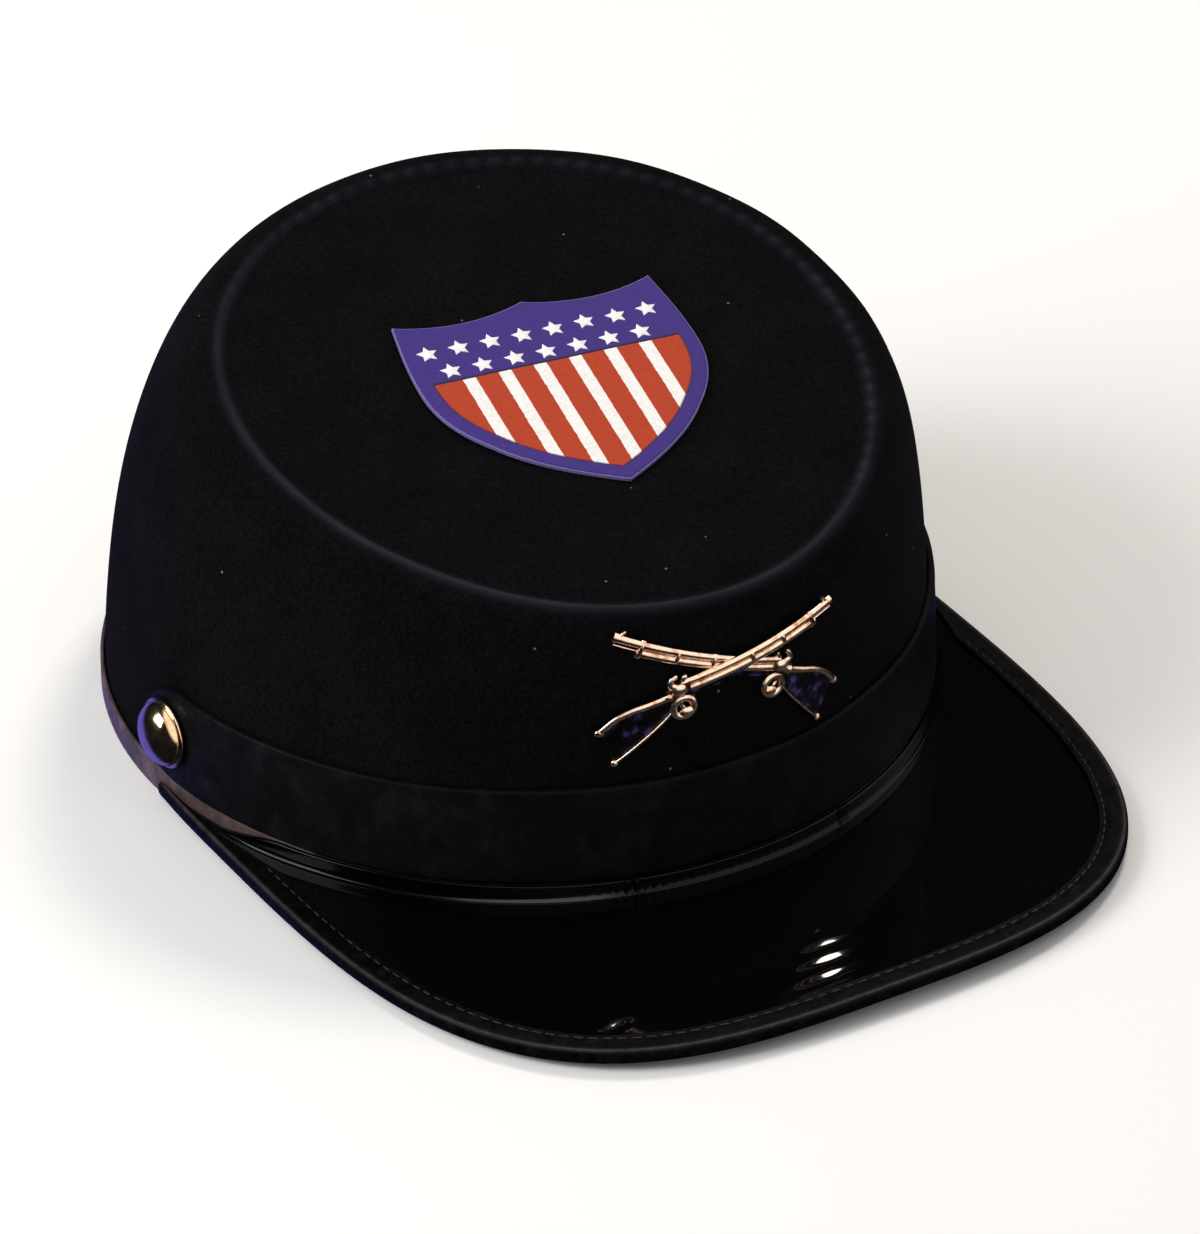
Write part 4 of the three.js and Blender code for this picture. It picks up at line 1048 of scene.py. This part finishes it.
def addShield(c):
    # a grid over the shield's outline, closed below, and a ten-cornered plate for each star
    across, down = np.meshgrid(np.linspace(-1, 1, 151), np.linspace(0, 1, 161))
    flat = shieldPoint(c, across, down)
    t = np.linspace(0, 1, 400)
    borders = [(2 * t - 1, 0 * t), (0 * t - 1, t), (0 * t + 1, t)]
    outline = np.concatenate([shieldPoint(c, *border) for border in borders])
    edge = np.min(np.linalg.norm(flat[:, :, None] - outline[None, None], axis=-1), axis=-1)
    # a pressed rim: the cloth drops over its last half millimetre and puffs a little inside it
    puff = c["puff"] * ripple(np.concatenate([flat, 0 * edge[..., None]], -1), c["puffLength"], 41)
    face = gap + c["thickness"]
    top = face - c["rimDrop"] * (1 - smooth(0, c["rimWidth"], edge)) + puff
    sheets = [onDisc(c, flat, height).reshape(-1, 3) for height in (top, np.full_like(top, gap))]
    rows, columns = top.shape
    count = rows * columns
    index = np.arange(count).reshape(rows, columns)
    loop = np.concatenate([index[0], index[1:, -1], index[-1, -2::-1], index[-2:0:-1, 0]])
    after = np.roll(loop, -1)
    wall = np.stack([loop, after, after + count, loop + count], -1).tolist()
    faces = gridFaces(rows, columns, False, False) + gridFaces(rows, columns, False, False, count) + wall
    shells = [(np.concatenate(sheets), faces, 0)]
    # stars in two staggered rows
    corner = np.linspace(0, 2 * np.pi, 11)[:-1] + np.pi / 2
    radius = np.where(np.arange(10) % 2 == 0, c["star"], c["star"] * c["starWaist"])
    shape = np.stack([radius * np.cos(corner), radius * np.sin(corner)], -1)
    starFaces = gridFaces(3, 10, False, True) + [list(range(10)), list(range(20, 30))]
    for number, left, right, y in c["starRows"]:
        for x in np.linspace(left, right, number):
            star = shape + [x, y + rng.uniform(-c["starJitter"], c["starJitter"])]
            closer = star + ([x, y] - star) * 0.12
            ring = [onDisc(c, star, np.full(10, face - 0.1)), onDisc(c, star, np.full(10, face + 0.13)),
                    onDisc(c, closer, np.full(10, face + c["starHeight"]))]
            shells.append((np.array(ring), starFaces, 1))
    pad = np.zeros(30 * (len(shells) - 1))
    attributes = {
        "across": np.concatenate([flat[..., 0].ravel()] * 2 + [pad]),
        "down": np.concatenate([-flat[..., 1].ravel()] * 2 + [pad]),
        "edge": np.concatenate([edge.ravel(), edge.ravel() * 0, pad]),
    }
    materials = [printMaterial(c), starMaterial()]
    return addPiece("shield_print", shells, materials, ["shield_patch"],
                    attributes, sharp=60)


addShield(shieldPatch)


# Floor, lights and the room's own dim light
studio = {
    "floorSize": 6.0, "aim": (0.0, 0.0, 0.05),
    "lights": {
        "key": {
            "place": (-1.2, 0.28, 0.88), "size": (0.75, 0.85), "power": 16.0, "colour": (1.0, 0.99, 0.98)},
        "lamp": {
            "place": (0.605, 0.424, 1.194), "size": (0.3, 0.28), "power": 6.5, "colour": (1.0, 0.9, 0.78)},
    },
    "seen": "#ffffff", "around": "#ffffff", "soft": 0.44, "room": "#141418", "mirrored": 1.25,
    "zones": [
        {"middle": (0.35, -0.6, 0.72), "from": 0.4, "to": 0.62, "colour": "#fff4ee"},
        {"middle": (0.0, 0.81, -0.587), "from": 0.7, "to": 0.88, "colour": "#5955cc"},
    ],
}


def addFloor(c):
    # a flat square under the cap
    side = c["floorSize"] / 2
    corners = [(-side, -side, 0), (side, -side, 0), (side, side, 0), (-side, side, 0)]
    mesh = bpy.data.meshes.new("floor")
    mesh.from_pydata(corners, [], [(0, 1, 2, 3)])
    material, shader, place = newMaterial("painted_floor", {"Roughness": 0.9, "Specular IOR Level": 0.1})
    cloud = addNode(material, "TexNoise", {"Vector": place, "Scale": 2.0, "Detail": 2.0})
    tone = addNode(material, "ValToRGB", {0: cloud, "ramp": [(0.3, "#f9f9f9"), (0.7, "#fdfdfd")]})
    setUp(material, shader, {"Base Color": tone})
    mesh.materials.append(material)
    floor = bpy.data.objects.new("floor", mesh)
    bpy.context.collection.objects.link(floor)
    floor.visible_glossy = False  # gilt mirrors the dim violet room instead of the pale floor


def addWorld(c):
    # pale where it is looked at, even and soft as light; mirrored, a dark room with a warm softbox
    # in front and a violet backdrop low behind. A zone is the dot product with its middle, eased.
    world = bpy.data.worlds.new("studio")
    world.use_nodes = True
    world.node_tree.nodes.clear()
    path = addNode(world, "LightPath")
    way = addNode(world, "TexCoord").outputs["Generated"]
    room = c["room"]
    for zone in c["zones"]:
        dot = addNode(world, "VectorMath", {"operation": "DOT_PRODUCT", 0: way, 1: zone["middle"]})
        share = addNode(world, "MapRange", {
            "interpolation_type": "SMOOTHSTEP", "Value": dot.outputs["Value"],
            "From Min": zone["from"], "From Max": zone["to"]})
        room = addNode(world, "Mix", {
            "data_type": "RGBA", 0: share, 6: room, 7: zone["colour"]}).outputs[2]
    glossy = addNode(world, "Background", {"Color": room, "Strength": c["mirrored"]})
    soft = addNode(world, "Background", {"Color": c["around"], "Strength": c["soft"]})
    seen = addNode(world, "Background", {"Color": c["seen"], "Strength": 1.0})
    lit = addNode(world, "MixShader", {0: path.outputs["Is Glossy Ray"], 1: soft, 2: glossy})
    both = addNode(world, "MixShader", {0: path.outputs["Is Camera Ray"], 1: lit, 2: seen})
    addNode(world, "OutputWorld", {0: both})
    bpy.context.scene.world = world


def addLight(name, c):
    # a rectangular soft box aimed at the cap's middle
    data = bpy.data.lights.new(name, "AREA")
    data.shape = "RECTANGLE"
    data.size, data.size_y = c["size"]
    data.energy = c["power"]
    data.color = c["colour"]
    light = bpy.data.objects.new(name, data)
    light.location = c["place"]
    aim = Vector(studio["aim"]) - Vector(c["place"])
    light.rotation_euler = aim.to_track_quat("-Z", "Y").to_euler()
    bpy.context.collection.objects.link(light)


addFloor(studio)
addWorld(studio)
for name, values in studio["lights"].items():
    addLight(name, values)
bpy.context.scene.view_settings.view_transform = "Standard"
print("floor and lights set")
